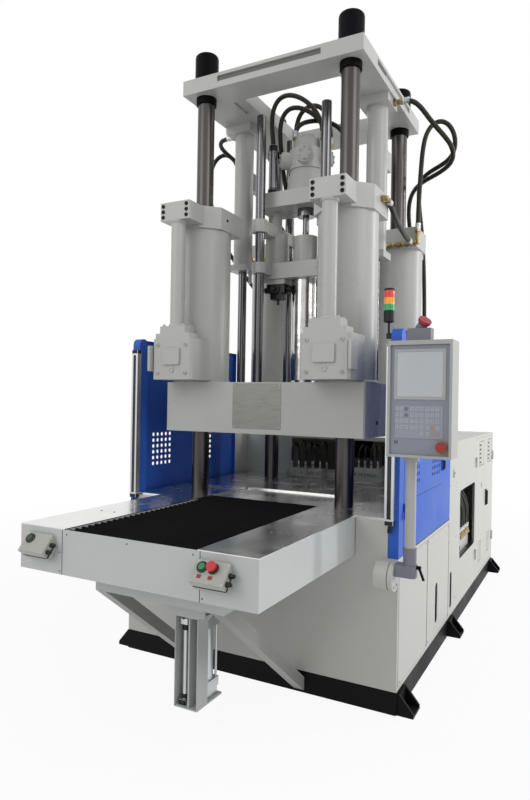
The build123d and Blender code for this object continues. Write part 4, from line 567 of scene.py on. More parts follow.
def hoop(profile, girth=32):
    """The same for a ring: the profile's last point is joined to its first, so its hole stays open."""
    points, faces = turned(profile, girth)
    around = np.arange(girth)
    following = np.roll(around, -1)
    last = (len(profile) - 1) * girth
    wall = np.stack([around + last, following + last, following, around], -1)
    return points, faces[:-2] + wall.tolist()


def put(shape, place, facing="up"):
    """The shape with its Z turned to a facing and its origin moved to a place."""
    points, faces = shape
    turn = FACINGS[facing] if isinstance(facing, str) else facing
    return points @ np.array(turn, float) + np.array(place, float), faces


def piece(name, shapes, finish, body, crease=35):
    """One object from several shapes in millimetres, riding on a body."""
    points = np.concatenate([shape[0] for shape in shapes])
    starts = np.cumsum([0] + [len(shape[0]) for shape in shapes[:-1]])
    faces = [[corner + start for corner in face]
             for shape, start in zip(shapes, starts) for face in shape[1]]
    mesh = bpy.data.meshes.new(name)
    mesh.from_pydata(points / 1000, [], faces)
    mesh.shade_smooth()
    mesh.set_sharp_from_angle(angle=math.radians(crease))
    made = bpy.data.objects.new(name, mesh)
    bpy.context.scene.collection.objects.link(made)
    made.data.materials.append(finish)
    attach(made, body)
    return made


def socket_screw(r, length):
    """Cap screw head with a chamfered rim and a deep socket."""
    return turned([(r, 0), (r, length * 0.88), (r * 0.9, length), (r * 0.55, length),
                   (r * 0.5, length * 0.45), (r * 0.05, length * 0.40)], 14)


black_oxide = coat("black_oxide", (0.014, 0.014, 0.015), 0.42, metal=0.6, cloud=0.2)
black_plastic = coat("black_plastic", (0.010, 0.010, 0.011), 0.48, cloud=0.2, peel=0.05, shine=0.3)
ear_screws = []
head_rings = []
for x, y, sx, sy in TIES:
    bottom = CLAMP_Y + sy * (EAR_FACE - COUNTERBORE)
    for across in (-EAR_SCREW_ACROSS, EAR_SCREW_ACROSS):
        for step in (-1, 0, 1):
            place = (x + across, bottom, EAR_SCREW_MIDDLE + step * EAR_SCREW_PITCH)
            ear_screws.append(put(socket_screw(11.2, 19), place, ENDS[sy]))
    for dx, dy in ((-1, 0), (1, 0), (0, -1), (0, 1)):
        place = (x + dx * HEAD_SCREW_OUT, y + dy * HEAD_SCREW_OUT, HEAD_TOP)
        ear_screws.append(put(socket_screw(15, 20), place))
    ring = hoop([(53.2, 0), (80, 0), (80, 7), (77, 10), (56, 10), (53.2, 7)], 40)
    head_rings.append(put(ring, (x, y, HEAD_TOP)))
for side in SIDES:
    place = (side * (TIE_X - EAR_FLANK), back(204), EAR_PLUG_Z)
    ear_screws.append(put(socket_screw(9, 4), place, SIDES[-side]))
piece("head_screws", ear_screws, black_oxide, "platen")
piece("wiper_rings", head_rings, black_plastic, "platen")

# Moving platen: a brushed metal plate held by four rivets on its front, blackened screw plugs of the
# drilled oil ways, and the painted weld ring at each clamp cylinder's foot. Flat fittings, here and
# below, are a rounded outline with softened edges.
PLATEN_TOP = 1657
PLATEN_FRONT = CLAMP_Y - 629
PLATEN_SIDE = 640
PLATE_X = -6
PLATE_Z = 1520
PLATE_W = 315
PLATE_H = 260
RIVET_IN = 10
OIL_WAYS = (-420, 0, 420)
OIL_WAY_Z = 1440


def rounded_outline(width, height, corner, steps=5):
    """Four quarter circles of the corner's radius, joined by straight sides."""
    quarter = np.linspace(0, math.pi / 2, steps)
    middles = [(1, 1), (-1, 1), (-1, -1), (1, -1)]
    return np.concatenate([np.column_stack([
        sx * (width / 2 - corner) + corner * np.cos(quarter + turn * math.pi / 2),
        sy * (height / 2 - corner) + corner * np.sin(quarter + turn * math.pi / 2)])
        for turn, (sx, sy) in enumerate(middles)])


def slab(width, height, thick, corner, edge):
    """A rounded outline carried up Z, drawn in by the edge's width at its bottom and its top."""
    rows = []
    for inset, level in ((edge, 0), (0, edge), (0, thick - edge), (edge, thick)):
        outline = rounded_outline(width - 2 * inset, height - 2 * inset, max(0.05, corner - inset))
        rows.append(np.column_stack([outline, np.full(len(outline), level)]))
    return np.concatenate(rows), ring_faces(4, len(rows[0]))


def dome_screw(r):
    """Low domed head with a small cross recess drawn as a dimple."""
    return turned([(r, 0), (r * 0.96, r * 0.2), (r * 0.7, r * 0.46), (r * 0.3, r * 0.55),
                   (r * 0.2, r * 0.3), (r * 0.02, r * 0.3)], 10)


zinc_plate = coat("zinc_plate", (0.55, 0.56, 0.58), 0.34, metal=1.0, cloud=0.1, cloud_scale=30)
plate_sheet = coat("plate_sheet", (0.20, 0.20, 0.19), 0.34, metal=1.0, cloud=0.08, cloud_scale=12,
                   peel=0.05, peel_scale=60, stretch=(1, 1, 12))
bare_plate = slab(PLATE_W, PLATE_H, 1.6, 5, 0.4)
piece("bare_plate", [put(bare_plate, (PLATE_X, PLATEN_FRONT, PLATE_Z), "front")], plate_sheet, "platen")
rivets = [put(dome_screw(4), (PLATE_X + sx * (PLATE_W / 2 - RIVET_IN), PLATEN_FRONT - 1.5,
                              PLATE_Z + sz * (PLATE_H / 2 - RIVET_IN)), "front")
          for sx in (-1, 1) for sz in (-1, 1)]
piece("plate_rivets", rivets, zinc_plate, "platen")
foot_ring = hoop([(167.2, 0), (181, 0), (180, 5), (173, 12), (168.5, 16), (167.2, 16)], 64)
foot_rings = [put(foot_ring, (x, y, PLATEN_TOP)) for x, y, sx, sy in TIES]
piece("foot_welds", foot_rings, casting_enamel, "platen", 50)
plugs = [put(socket_screw(13, 4), (side * PLATEN_SIDE, CLAMP_Y + y, OIL_WAY_Z), facing)
         for side, facing in SIDES.items() for y in OIL_WAYS]
piece("oil_way_plugs", plugs, black_oxide, "platen")

# Valve blocks at the feet of the transfer pipes: a cover plate with cap screws on each side, plugs
# on the face, four screws in the pipe's flange and the pipe's weld rings, all painted with the block.
PIPE_OUT = 271
VALVE_HALF = 50
VALVE_MIDDLE = 1786
COVER_SCREWS = (98, 82)
FLANGE_SCREWS = (68, 34)
PIPE_FOOT = 1978
PIPE_TOP = 2598
valve_screws = []
valve_covers = []
pipe_rings = []
for x, y, sx, sy in TIES:
    pipe_y = y + sy * PIPE_OUT
    face = pipe_y + sy * VALVE_HALF
    for dx in (-1, 1):
        for dz in (-1, 1):
            place = (x + dx * COVER_SCREWS[0], face, VALVE_MIDDLE + dz * COVER_SCREWS[1])
            valve_screws.append(put(socket_screw(10, 10), place, ENDS[sy]))
        for dy in (-1, 1):
            place = (x + dx * FLANGE_SCREWS[0], pipe_y + dy * FLANGE_SCREWS[1], PIPE_FOOT)
            valve_screws.append(put(socket_screw(9, 12), place))
    valve_screws.append(put(socket_screw(17, 6), (x, face, VALVE_MIDDLE - 64), ENDS[sy]))
    valve_covers.append(put(slab(120, 96, 14, 8, 2), (x, face, VALVE_MIDDLE + 14), ENDS[sy]))
    place = (x + sx * 140, pipe_y + sy * 30, VALVE_MIDDLE + 4)
    valve_covers.append(put(slab(90, 150, 16, 8, 2), place, SIDES[sx]))
    for level, facing in ((PIPE_FOOT, "up"), (PIPE_TOP, "down")):
        ring = hoop([(42.0, 0), (50, 0), (50, 8), (46, 14), (42.0, 16)], 40)
        pipe_rings.append(put(ring, (x, pipe_y, level), facing))
piece("valve_screws", valve_screws, casting_enamel, "platen")
piece("valve_covers", valve_covers, casting_enamel, "platen")
piece("pipe_welds", pipe_rings, casting_enamel, "platen", 50)

# Hose ends: a crimped steel ferrule on the hose, and a zinc-plated nut that screws on its port. Each
# ferrule is a profile of widths, in hose radii, over a length of sixty millimetres.
CRIMPS = ((1.02, 18), (1.22, 19), (1.22, 24), (1.14, 26), (1.14, 31), (1.22, 33), (1.22, 38), (1.14, 40),
          (1.14, 45), (1.24, 47), (1.24, 58), (1.02, 60))
FERRULE_LENGTH = 60
yellow_zinc = coat("yellow_zinc", (0.36, 0.28, 0.14), 0.34, metal=1.0, cloud=0.35, cloud_scale=40)


def hex_nut(across, thick):
    """Six-sided nut with chamfered ends."""
    r = across / math.sqrt(3)
    return turned([(r * 0.88, 0), (r, thick * 0.14), (r, thick * 0.86), (r * 0.88, thick)], 6)


def turned_to(start, end):
    """The turn that lays Z along the way from one point to another."""
    way = np.subtract(end, start)
    along = way / np.linalg.norm(way)
    side = np.cross(along, OBLIQUE)
    side /= np.linalg.norm(side)
    return np.array([side, np.cross(along, side), along])


def nut_at(start, towards, across, thick):
    """A hexagon nut with its bottom at a point and its axis towards another."""
    return put(hex_nut(across, thick), start, turned_to(start, towards))


def hose_end(route, radius, last=False, reach=FERRULE_LENGTH):
    """Ferrule and nut along the first or last run of a hose's route, over a reach from its end."""
    start, following = in_place(route[::-1] if last else route)[:2]
    ferrule = turned([(radius * wide, high * reach / FERRULE_LENGTH) for wide, high in CRIMPS], 24)
    nut = nut_at(start, following, radius * 2.3, reach / 3)
    return put(ferrule, start, turned_to(start, following)), nut


def fit_ends(name, ends, body, plural="s"):
    """Some hose ends as two pieces, the ferrules and the nuts."""
    ferrules, nuts = zip(*ends)
    piece(name + "_ferrule" + plural, ferrules, zinc_plate, body, 30)
    piece(name + "_nut" + plural, nuts, yellow_zinc, body, 30)


for name, routes, radius, body, reach in (
        ("lift_hose", [LIFT_ROUTE, LEFT_LIFT_ROUTE], HOSE_R, "frame", FERRULE_LENGTH),
        ("head_hose", [HEAD_ROUTE], HOSE_R, "platen", FERRULE_LENGTH),
        ("motor_hose", [OUTER_ROUTE, INNER_ROUTE, CAP_ROUTE, CROSS_ROUTE], HOSE_R, "crosshead",
         FERRULE_LENGTH),
        ("pump_hose", PUMP_ROUTES, PUMP_HOSE_R, "frame", 52),
        ("side_hose", SIDE_ROUTES, HOSE_R, "frame", 44),
        ("circuit_hose", CIRCUIT_ROUTES, CIRCUIT_HOSE_R, "frame", 30)):
    ends = [hose_end(route, radius, last, reach) for route in routes for last in (False, True)]
    fit_ends(name, ends, body)
for name, route in (("clamp_hose", CLAMP_ROUTE), ("left_clamp_hose", LEFT_CLAMP_ROUTE)):
    fit_ends(name + "_head", [hose_end(route, HOSE_R)], "platen", "")
    fit_ends(name + "_foot", [hose_end(route, HOSE_R, True)], "frame", "")

# Port plate of the pump manifold, right behind the side opening: a cast plate with a black plug, and
# under each valve hose a brass union of stacked hexagons with an elbow's port behind it.
port_plate = slab(520, 96, 40, 8, 2)
port_plug = turned([(26, 0), (26, 5), (21, 8), (19, 8), (19, 3), (1, 3)], 36)
elbow_port = turned([(12, 0), (12, 30), (15, 32), (15, 42), (11, 44)], 20)
unions = []
for route in SIDE_ROUTES:
    foot = in_place(route)[0]
    for shape, offset in ((hex_nut(44, 20), (0, 0, -40)), (hex_nut(36, 18), (0, 0, -19)),
                          (elbow_port, (-44, 26, -38)), (hex_nut(32, 16), (-44, 26, -4))):
        unions.append(put(shape, foot + offset))
piece("side_port_plate", [put(port_plate, (771, back(1890), 480), "right")], casting_enamel, "frame")
piece("side_port_plug", [put(port_plug, (811, back(1760), 470), "right")], black_plastic, "frame")
piece("side_port_unions", unions, yellow_zinc, "frame", 30)

# Pipe fittings, zinc-plated yellow like brass and screwed together: a row on each rear head block,
# the elbow on the front right one, the port in each lift cylinder's flange and the bulkheads on the
# rear housing's roof.
ROW_Y = back(985)
ROW_Z = 2598
HEAD_FACE = CLAMP_Y + TIE_Y - EAR_FLANK + 8
ELBOW_Y = CLAMP_Y - TIE_Y + 46
ELBOW_Z = 2668
LIFT_Y = back(725)
LIFT_Z = 3412
ROOF_Z = 1290


def straight_pipe(start, end, r):
    """A round bar between two points, with a small chamfer at each end."""
    length = np.linalg.norm(np.subtract(end, start))
    bar = turned([(r - 1, 0), (r, 1), (r, length - 1), (r - 1, length)], 20)
    return put(bar, start, turned_to(start, end))


row = []
for side in SIDES:
    row.append(straight_pipe((side * 446, ROW_Y, ROW_Z), (side * 670, ROW_Y, ROW_Z), 11))
    row.append(straight_pipe((side * 668, ROW_Y, ROW_Z - 12), (side * 668, ROW_Y, 2664), 14))
    for x in (462, 540, 600):
        row.append(straight_pipe((side * x, ROW_Y - 14, ROW_Z), (side * x, HEAD_FACE + 1, ROW_Z), 12))
        row.append(nut_at((side * x, HEAD_FACE - 17, ROW_Z), (side * x, HEAD_FACE, ROW_Z), 34, 18))
    for start, end in ((486, 506), (556, 576), (604, 622), (640, 658)):
        row.append(nut_at((side * start, ROW_Y, ROW_Z), (side * end, ROW_Y, ROW_Z), 30, end - start))
row.append(straight_pipe((630, back(953), ROW_Z), (630, ROW_Y, ROW_Z), 14))
piece("brass_row", row, yellow_zinc, "platen", 30)
elbow = [straight_pipe((653, ELBOW_Y, ELBOW_Z), (690, ELBOW_Y, ELBOW_Z), 14),
         nut_at((654, ELBOW_Y, ELBOW_Z), (690, ELBOW_Y, ELBOW_Z), 36, 16),
         straight_pipe((672, ELBOW_Y - 14, ELBOW_Z), (672, ELBOW_Y + 32, ELBOW_Z), 14)]
piece("brass_elbow", elbow, yellow_zinc, "platen", 30)
lift_port = []
for side in SIDES:
    lift_port.append(straight_pipe((side * 572, LIFT_Y, LIFT_Z), (side * 612, LIFT_Y, LIFT_Z), 16))
    lift_port.append(nut_at((side * 574, LIFT_Y, LIFT_Z), (side * 600, LIFT_Y, LIFT_Z), 40, 18))
piece("lift_port", lift_port, yellow_zinc, "frame", 30)
bulkheads = [put(shape, (x, back(1556), ROOF_Z)) for x in (-552, -492, 492, 552)
             for shape in (hex_nut(46, 14), turned([(17, 14), (17, 34), (14, 36), (14, 45)], 24))]
piece("bulkhead_fittings", bulkheads, yellow_zinc, "frame", 30)

# Bellows: coated cloth in thirty folds between the table's front and the mould plate. A stiff strip
# keeps each fold's crest straight. On the machine the folds close up as the plate slides out over the
# table; here they keep one length and ride on the frame.
BELLOWS_FOLDS = 30
STEPS_PER_FOLD = 8
BELLOWS_HALF = 350.5
BELLOWS_START = -2610
BELLOWS_END = -1385.3
FOLD_LOW = 922
FOLD_HIGH = 966.8
CLOTH_THICK = 6
bellows_cloth = coat("bellows_cloth", (0.0035, 0.0035, 0.0045), 0.60, cloud=0.25, cloud_scale=8,
                     peel=0.25, peel_scale=700, shine=0.06)


def folded_cloth():
    """Zigzag z(y) with rounded crests, carried across x; lifted a little towards both edges."""
    count = BELLOWS_FOLDS * STEPS_PER_FOLD + 1
    along = np.linspace(0, BELLOWS_FOLDS, count)
    wave = 1 - np.abs((along % 1) * 2 - 1) ** 1.25
    y = BELLOWS_START + (BELLOWS_END - BELLOWS_START) * along / BELLOWS_FOLDS
    x = np.array([-1, -0.985, -0.9, -0.5, 0, 0.5, 0.9, 0.985, 1]) * BELLOWS_HALF
    sag = np.array([0, 0, 0.6, 2.2, 3.0, 2.2, 0.6, 0, 0])
    height = FOLD_LOW + (FOLD_HIGH - FOLD_LOW) * wave[:, None] - sag[None, :] * wave[:, None]
    top = np.stack([np.repeat(x[None, :], count, 0), np.repeat(y[:, None], len(x), 1), height], -1)
    under = top[:, ::-1] - (0, 0, CLOTH_THICK)
    return np.concatenate([top, under], axis=1).reshape(-1, 3), ring_faces(count, 2 * len(x))


bellows = piece("folded_bellows", [folded_cloth()], bellows_cloth, "frame", 50)
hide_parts("bellows")
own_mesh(bellows)

# Signal tower: three drums of clear coloured plastic with ribbed lenses, stacked on a black moulded
# foot that stands on a thin pole.
TOWER = np.array([771, back(40), 0])
TOWER_LAMPS = (("tower_green", (0.01, 0.36, 0.09), 2019, 2051),
               ("tower_amber", (0.95, 0.36, 0.02), 2051, 2084),
               ("tower_red", (0.75, 0.02, 0.015), 2084, 2120))


def lens_drum(radius, low, high, ribs=6):
    """A drum whose wall waves in and out by 0.7 mm, ribs times over its height."""
    t = np.linspace(0, 1, ribs * 6 + 1)
    wall = radius - 0.7 + 0.7 * np.abs(np.sin(t * math.pi * ribs))
    rows = list(zip(wall, low + (high - low) * t))
    return turned([(1, low), (radius - 2, low)] + rows + [(radius - 2, high), (1, high)], 40)


def lamp_plastic(name, colour):
    """Clear coloured plastic, glossy, with a faint emission that is a painted glow of light in the lens."""
    lens = coat(name, colour, 0.14, cloud=0.10, cloud_scale=30, peel=0.0)
    shader = principled(lens)
    shader.inputs["Coat Weight"].default_value = 0.6
    # Painted glow: a weak emission in the lens's own colour.
    shader.inputs["Emission Color"].default_value = (*colour, 1)
    shader.inputs["Emission Strength"].default_value = 0.12
    return lens


tower_foot = [put(turned([(5.8, 1903), (5.8, 1962)], 20), TOWER),
              put(turned([(18, 1958), (27, 1961), (27, 2017), (25, 2019)], 40), TOWER),
              put(turned([(25, 2120), (27, 2121), (27, 2129), (20, 2132)], 40), TOWER),
              put(slab(36, 28, 26, 4, 1.5), TOWER + (8, 0, 1877))]
tower = piece("tower_foot", tower_foot, black_plastic, "frame")
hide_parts("signal_tower")
for name, colour, low, high in TOWER_LAMPS:
    piece(name, [put(lens_drum(26, low, high), TOWER)], lamp_plastic(name, colour), "frame")

# Light curtains: drawn aluminium bars with a dark acrylic window over the optics. Black moulded caps
# close their ends, and each has a round plug screwed in under its foot.
CURTAIN_X = 807.5
CURTAIN_Y = -1603
CURTAIN_MIDDLE = 1397.5
curtain_window = coat("curtain_window", (0.010, 0.010, 0.014), 0.12, cloud=0.1, peel=0)
window = slab(27, 844, 2.6, 2, 0.5)
curtain_plug = turned([(9, -40), (10.5, -38), (10.5, -22), (8, -20), (8, 0)], 24)
windows = [put(window, (side * CURTAIN_X, CURTAIN_Y - 14.2, CURTAIN_MIDDLE), "front") for side in SIDES]
caps = [put(slab(45.6, 36.6, 22, 4, 1), (side * CURTAIN_X, CURTAIN_Y, level))
        for side in SIDES for level in (944.5, 1829)]
plugs = [put(curtain_plug, (side * CURTAIN_X, CURTAIN_Y, 945)) for side in SIDES]
piece("curtain_windows", windows, curtain_window, "frame")
piece("curtain_caps", caps, black_plastic, "frame")
piece("curtain_plugs", plugs, black_plastic, "frame")

# Hand stations: grey moulded lids screwed on black bases, a black bezel round each button, cable
# glands in their right-hand ends, and two small red fields below the right-hand one's buttons.
STATION_TILT = math.radians(40)
LEFT_STATION = -485
RIGHT_STATION = 435
STATIONS = (LEFT_STATION, RIGHT_STATION)
STATION_Y = -2657
STATION_Z = 905
STATION_TURN = np.array([(1, 0, 0), (0, math.sin(STATION_TILT), math.cos(STATION_TILT)),
                         (0, -math.cos(STATION_TILT), math.sin(STATION_TILT))])
STATION_SIDE_TURN = STATION_TURN[[1, 2, 0]]


def on_station(shape, x, across, up, out, turn=STATION_TURN):
    """Place a shape on a station's tilted face."""
    return put(shape, np.array([x, STATION_Y, STATION_Z]) + (across, up, out) @ STATION_TURN, turn)


lid_plastic = coat("lid_plastic", (0.42, 0.42, 0.38), 0.45, cloud=0.04, peel=0.1, peel_scale=700)
field_red = coat("field_red", (0.26, 0.010, 0.014), 0.40, cloud=0.06)
bezel = hoop([(14.6, 2), (23, 2), (23, 5), (21, 9.5), (16, 10), (14.6, 9)], 36)
gland = turned([(11, 0), (11, 9), (9, 11), (9, 20), (7, 24), (3, 25)], 6)
lids = [on_station(slab(151, 97, 30, 7, 3), x, 0, 0, -28) for x in STATIONS]
bases = [on_station(slab(153, 99, 10, 6, 2), x, 0, 0, -44) for x in STATIONS]
bezels = [on_station(bezel, x, across, 16, 0)
          for x, across in ((LEFT_STATION, -38), (RIGHT_STATION, -38), (RIGHT_STATION, 12))]
fields = [on_station(slab(19, 15, 1.0, 1, 0.3), RIGHT_STATION, across, -21, 1.8) for across in (-38, 12)]
glands = [on_station(gland, x + 74, 0, up, -20, STATION_SIDE_TURN) for x in STATIONS for up in (-26, 8)]
lid_screws = [on_station(dome_screw(3.4), x, sx * 68, sy * 41, 1.6)
              for x in STATIONS for sx in (-1, 1) for sy in (-1, 1)]
piece("station_lids", lids, lid_plastic, "frame")
piece("station_bases", bases, black_plastic, "frame")
piece("button_bezels", bezels, black_plastic, "frame")
piece("station_fields", fields, field_red, "frame")
piece("station_glands", glands, black_plastic, "frame")
piece("lid_screws", lid_screws, zinc_plate, "frame")

# Control panel: a pale glossy screen set in its frame, and moulded keys in three groups on a foil. A
# few keys are coloured, and their legends are plain marks. The stop's cap sits over a brown ring.
PANEL_FRONT = -1810
PANEL_BOTTOM = 1303
PANEL_TOP = 1838
PANEL_MIDDLE = (PANEL_BOTTOM + PANEL_TOP) / 2
KEY_ROWS = 5
KEY_COLUMNS = 9
LAST_ROW_START = 5
KEY_PITCH = (21.5, 28)
GROUP_GAP = 6
AMBER_KEYS = ((3, 7), (4, 7), (4, 8))
DARK_KEYS = ((0, 2), (1, 2))
STOP_X = 1097
STOP_Z = PANEL_BOTTOM + 53


def on_panel(shape, x, deep, z):
    """Place a shape on the panel's front, so deep behind its rim."""
    return put(shape, (x, PANEL_FRONT + deep, z), "front")


screen_glass = coat("screen_glass", (0.52, 0.55, 0.57), 0.12, cloud=0.05, peel=0)
panel_face = coat("panel_face", (0.250, 0.265, 0.315), 0.40, cloud=0.03, peel=0.05, peel_scale=500)
key_foil = coat("key_foil", (0.300, 0.315, 0.365), 0.40, cloud=0.03, peel=0.05, peel_scale=500)
key_ink = coat("key_ink", (0.060, 0.065, 0.085), 0.45, cloud=0.1, peel=0.03)
ring_brown = coat("ring_brown", (0.30, 0.17, 0.06), 0.42, cloud=0.1, peel=0.03)
piece("panel_face", [on_panel(slab(268, 500, 1.5, 6, 0.4), 995, 14, PANEL_MIDDLE - 4)], panel_face,
      "panel_arm")
piece("screen", [on_panel(slab(209, 205, 2.2, 3, 0.6), 995, 12, PANEL_TOP - 155)], screen_glass,
      "panel_arm")
piece("key_foil", [on_panel(slab(218, 150, 1.3, 4, 0.3), 993, 11.3, PANEL_BOTTOM + 163)], key_foil,
      "panel_arm")
keys = {"key_pale": [], "key_dark": [], "key_amber": []}
marks = []
for row in range(KEY_ROWS):
    for column in range(LAST_ROW_START if row == KEY_ROWS - 1 else 0, KEY_COLUMNS):
        x = 893 + column * KEY_PITCH[0] + GROUP_GAP * (column // 3)
        z = PANEL_BOTTOM + 222 - row * KEY_PITCH[1]
        kind = "key_pale"
        if (row, column) in AMBER_KEYS:
            kind = "key_amber"
        if (row, column) in DARK_KEYS:
            kind = "key_dark"
        keys[kind].append(on_panel(slab(16.5, 17, 3.2, 2.4, 0.9), x, 11, z))
        marks.append(on_panel(slab(7.5, 1.6, 0.5, 0.4, 0.1), x, 7.9, z + 2.5))
        marks.append(on_panel(slab(4.5, 1.4, 0.5, 0.4, 0.1), x, 7.9, z - 2.5))
for kind, colour in (("key_pale", (0.40, 0.42, 0.47)), ("key_dark", (0.18, 0.19, 0.23)),
                     ("key_amber", (0.42, 0.29, 0.25))):
    key_plastic = coat(kind, colour, 0.40, cloud=0.03, peel=0.03)
    piece(kind + "_caps", keys[kind], key_plastic, "panel_arm")
for x in (884, 894):
    marks.append(on_panel(slab(6, 15, 0.6, 0.6, 0.1), x, 12.1, PANEL_BOTTOM + 68))
piece("key_marks", marks, key_ink, "panel_arm")
mushroom = turned([(14, 2), (14, 8), (21.3, 10), (22.5, 14), (22, 18), (18, 21.5), (8, 23.4),
                   (0.5, 23.8)], 40)
stop_ring = hoop([(16, 0), (28.5, 0), (28.5, 3), (26, 5), (17, 5), (16, 4)], 40)
piece("panel_stop_cap", [on_panel(mushroom, STOP_X, 5, STOP_Z)], stop_red, "panel_button")
piece("panel_stop_ring", [on_panel(stop_ring, STOP_X, 8, STOP_Z)], ring_brown, "panel_arm")

# Covers and deck: small raised-head screws of blackened steel, few and far apart, as the sheets hang
# on their folded rims.
HALF_W = 850
TABLE_FACE = -2615
screw_steel = coat("screw_steel", (0.17, 0.17, 0.17), 0.40, metal=0.7, cloud=0.1, cloud_scale=30)


def on_side(side, shape, setback, z, out=0):
    """Place a shape on the machine's left or right side, standing out from the sheet."""
    return put(shape, (side * (HALF_W + out), back(setback), z), SIDES[side])


screws = []
for side in SIDES:
    for setback in (50, 590, 645, 1185):
        for z in (152, 738):
            screws.append(on_side(side, dome_screw(4), setback, z))
    for z in (200, 620, 1000, 1240):
        for setback in (1240, 1438):
            screws.append(on_side(side, dome_screw(4), setback, z))
for x, z in ((-338, 950), (0, 950), (331, 950), (-380, 867), (-380, 785), (376, 785)):
    screws.append(put(dome_screw(4.2), (x, TABLE_FACE, z), "front"))
piece("cover_screws", screws, screw_steel, "frame")
DECK_SCREWS = ((450, -2186), (535, -2186), (450, -1700), (600, -1400), (600, -900), (600, -420))
deck_screws = [put(dome_screw(5), (side * x, y, DECK_TOP)) for side in SIDES for x, y in DECK_SCREWS]
piece("deck_screws", deck_screws, screw_steel, "frame")

# Seams and latches: the dark gaps between the sheets, over the joints that the solids have there, and
# the black latch of each side door. The crease of each door is a thin black line of painted shade.
seam_black_and_crease_shade = coat("seam_black_and_crease_shade", (0.020, 0.020, 0.020), 0.7, cloud=0.2, peel=0.05, shine=0.2)


def strip(width, height):
    """A drawn line: a strip half a millimetre thick."""
    return slab(width, height, 0.5, 0.4, 0.1)


seams = [put(strip(3, 198), (x, TABLE_FACE, 869), "front") for x in (-364, 364)]
for side in SIDES:
    for setback, z0, z1, wide in ((617.5, 135, 755, 6), (1212.5, 130, 755, 5), (20, 135, 755, 3)):
        seams.append(on_side(side, strip(wide, z1 - z0), setback, (z0 + z1) / 2))
piece("sheet_seams", seams, seam_black_and_crease_shade, "frame")
for side, name in SIDES.items():
    crease = on_side(side, slab(619, 2.6, 0.4, 0.3, 0.1), 635.5, 1047)
    latch = [on_side(side, slab(26, 70, 4, 5, 1.5), 967, 1167, 10),
             on_side(side, slab(10, 52, 9, 4, 2), 967, 1167, 13)]
    piece("door_crease_shade_" + name, [crease], seam_black_and_crease_shade, name + "_door")
    piece("door_latch_" + name, latch, black_plastic, name + "_door")

# Cheek latches: oval quarter-turn locks of polished steel with a dark keyway, screwed in the cheek
# behind each side door.
latch_steel = coat("latch_steel", (0.50, 0.50, 0.50), 0.22, metal=1.0, cloud=0.1, cloud_scale=30)
keyway = turned([(8, 0), (8, 2), (6.5, 3), (2, 3)], 24)
cheek_latches = [on_side(side, slab(30, 62, 7, 14.9, 2.5), 1351, 1073) for side in SIDES]
piece("cheek_latches", cheek_latches, latch_steel, "frame")
piece("cheek_keyways", [on_side(side, keyway, 1351, 1077, 6.6) for side in SIDES], ring_brown, "frame")

# Cabinet leaves: a dark gasket line round each vent's plate, a felt filter mat behind the slots, made
# near black as painted shade of the cabinet's dark inside, a small sign holder and two flush locks
# with black covers near the front edge.
VENT_Z = (1033, 1237)
LOW_VENT_Z = (228, 390)
LEAVES = (("front_leaf", 2480, (2422, 2650), (2416, 2540)), ("rear_leaf", 2925, (2866, 3098), (2862, 2988)))
filter_felt_painted_shade = coat("filter_felt_painted_shade", (0.020, 0.020, 0.021), 0.95, cloud=0.3, cloud_scale=60, peel=0.6,
                   peel_scale=500)


def frame_lines(first, last, z0, z1, line=3.5):
    """Four thin strips round a rectangle of the leaf, from one setback and height to another."""
    upright = strip(line, z1 - z0)
    level = strip(last - first, line)
    return ([on_side(1, upright, setback, (z0 + z1) / 2) for setback in (first, last)]
            + [on_side(1, level, (first + last) / 2, z) for z in (z0, z1)])


for name, middle, vent, low_vent in LEAVES:
    lines = frame_lines(*vent, *VENT_Z) + frame_lines(*low_vent, *LOW_VENT_Z)
    piece(name + "_lines", lines, seam_black_and_crease_shade, name)
    piece(name + "_filter", [on_side(1, slab(96, 176, 4, 4, 0.5), middle, 1133, -9),
                             on_side(1, slab(30, 156, 4, 4, 0.5), middle, 305, -9)], filter_felt_painted_shade, name)
locks = [on_side(1, slab(12, 40, 3, 5, 1), 2264, z) for z in (1098, 340)]
handle = [on_side(1, slab(34.6, 142.6, 8.6, 4, 1), 2766, 730),
          on_side(1, slab(23, 125, 13.4, 6, 2), 2766, 729, 8)]
# The vents in the rear end get the same near-black felt mats, as painted shade of the dark inside.
mats = [put(slab(250, 204, 4, 4, 0.5), (x, 1575, 1076), "rear") for x in (-450, 450)]
piece("leaf_locks", locks, black_plastic, "front_leaf")
piece("handle_cover", handle, black_plastic, "rear_leaf")
piece("leaf_card", [on_side(1, slab(38, 44, 1.2, 8, 0.3), 2545, 864)], plate_sheet, "front_leaf")
piece("rear_filters", mats, filter_felt_painted_shade, "frame")

# Top plate: the grooves milled in the casting's edges lie in shade, and their floors are painted dark
# grey as that shade.
GROOVE_Z = 3488
GROOVE_IN = 585 - 11.8
groove_painted_shade = coat("groove_painted_shade", (0.16, 0.165, 0.155), 0.6, cloud=0.08, cloud_scale=6, shine=0.3)
long_floor = slab(672, 33, 0.6, 0.5, 0.1)
short_floor = slab(194, 33, 0.6, 0.5, 0.1)
floors = [put(long_floor, (0, CLAMP_Y + side * GROOVE_IN, GROOVE_Z), facing)
          for side, facing in ENDS.items()]
floors += [put(short_floor, (side * GROOVE_IN, CLAMP_Y - 241, GROOVE_Z), facing)
           for side, facing in SIDES.items()]
piece("groove_floor_shade", floors, groove_painted_shade, "frame")

# Shut-off valve under the carriage: a turned black knob on each side of its body, and a flanged nose
# that is screwed into its front.
VALVE_PLACE = np.array([-160, -961, 2286])
knob = turned([(17, 0), (17, 14), (20, 16), (20, 30), (15, 34), (3, 34)], 28)
nose = turned([(30, 0), (30, 9), (24, 12), (14, 12), (14, 26), (10, 30), (2, 30)], 32)
knobs = [put(knob, VALVE_PLACE + (side * 65, 0, 0), facing) for side, facing in SIDES.items()]
piece("valve_knobs", knobs + [put(nose, VALVE_PLACE - (0, 40, 0), "front")], black_plastic, "carriage")

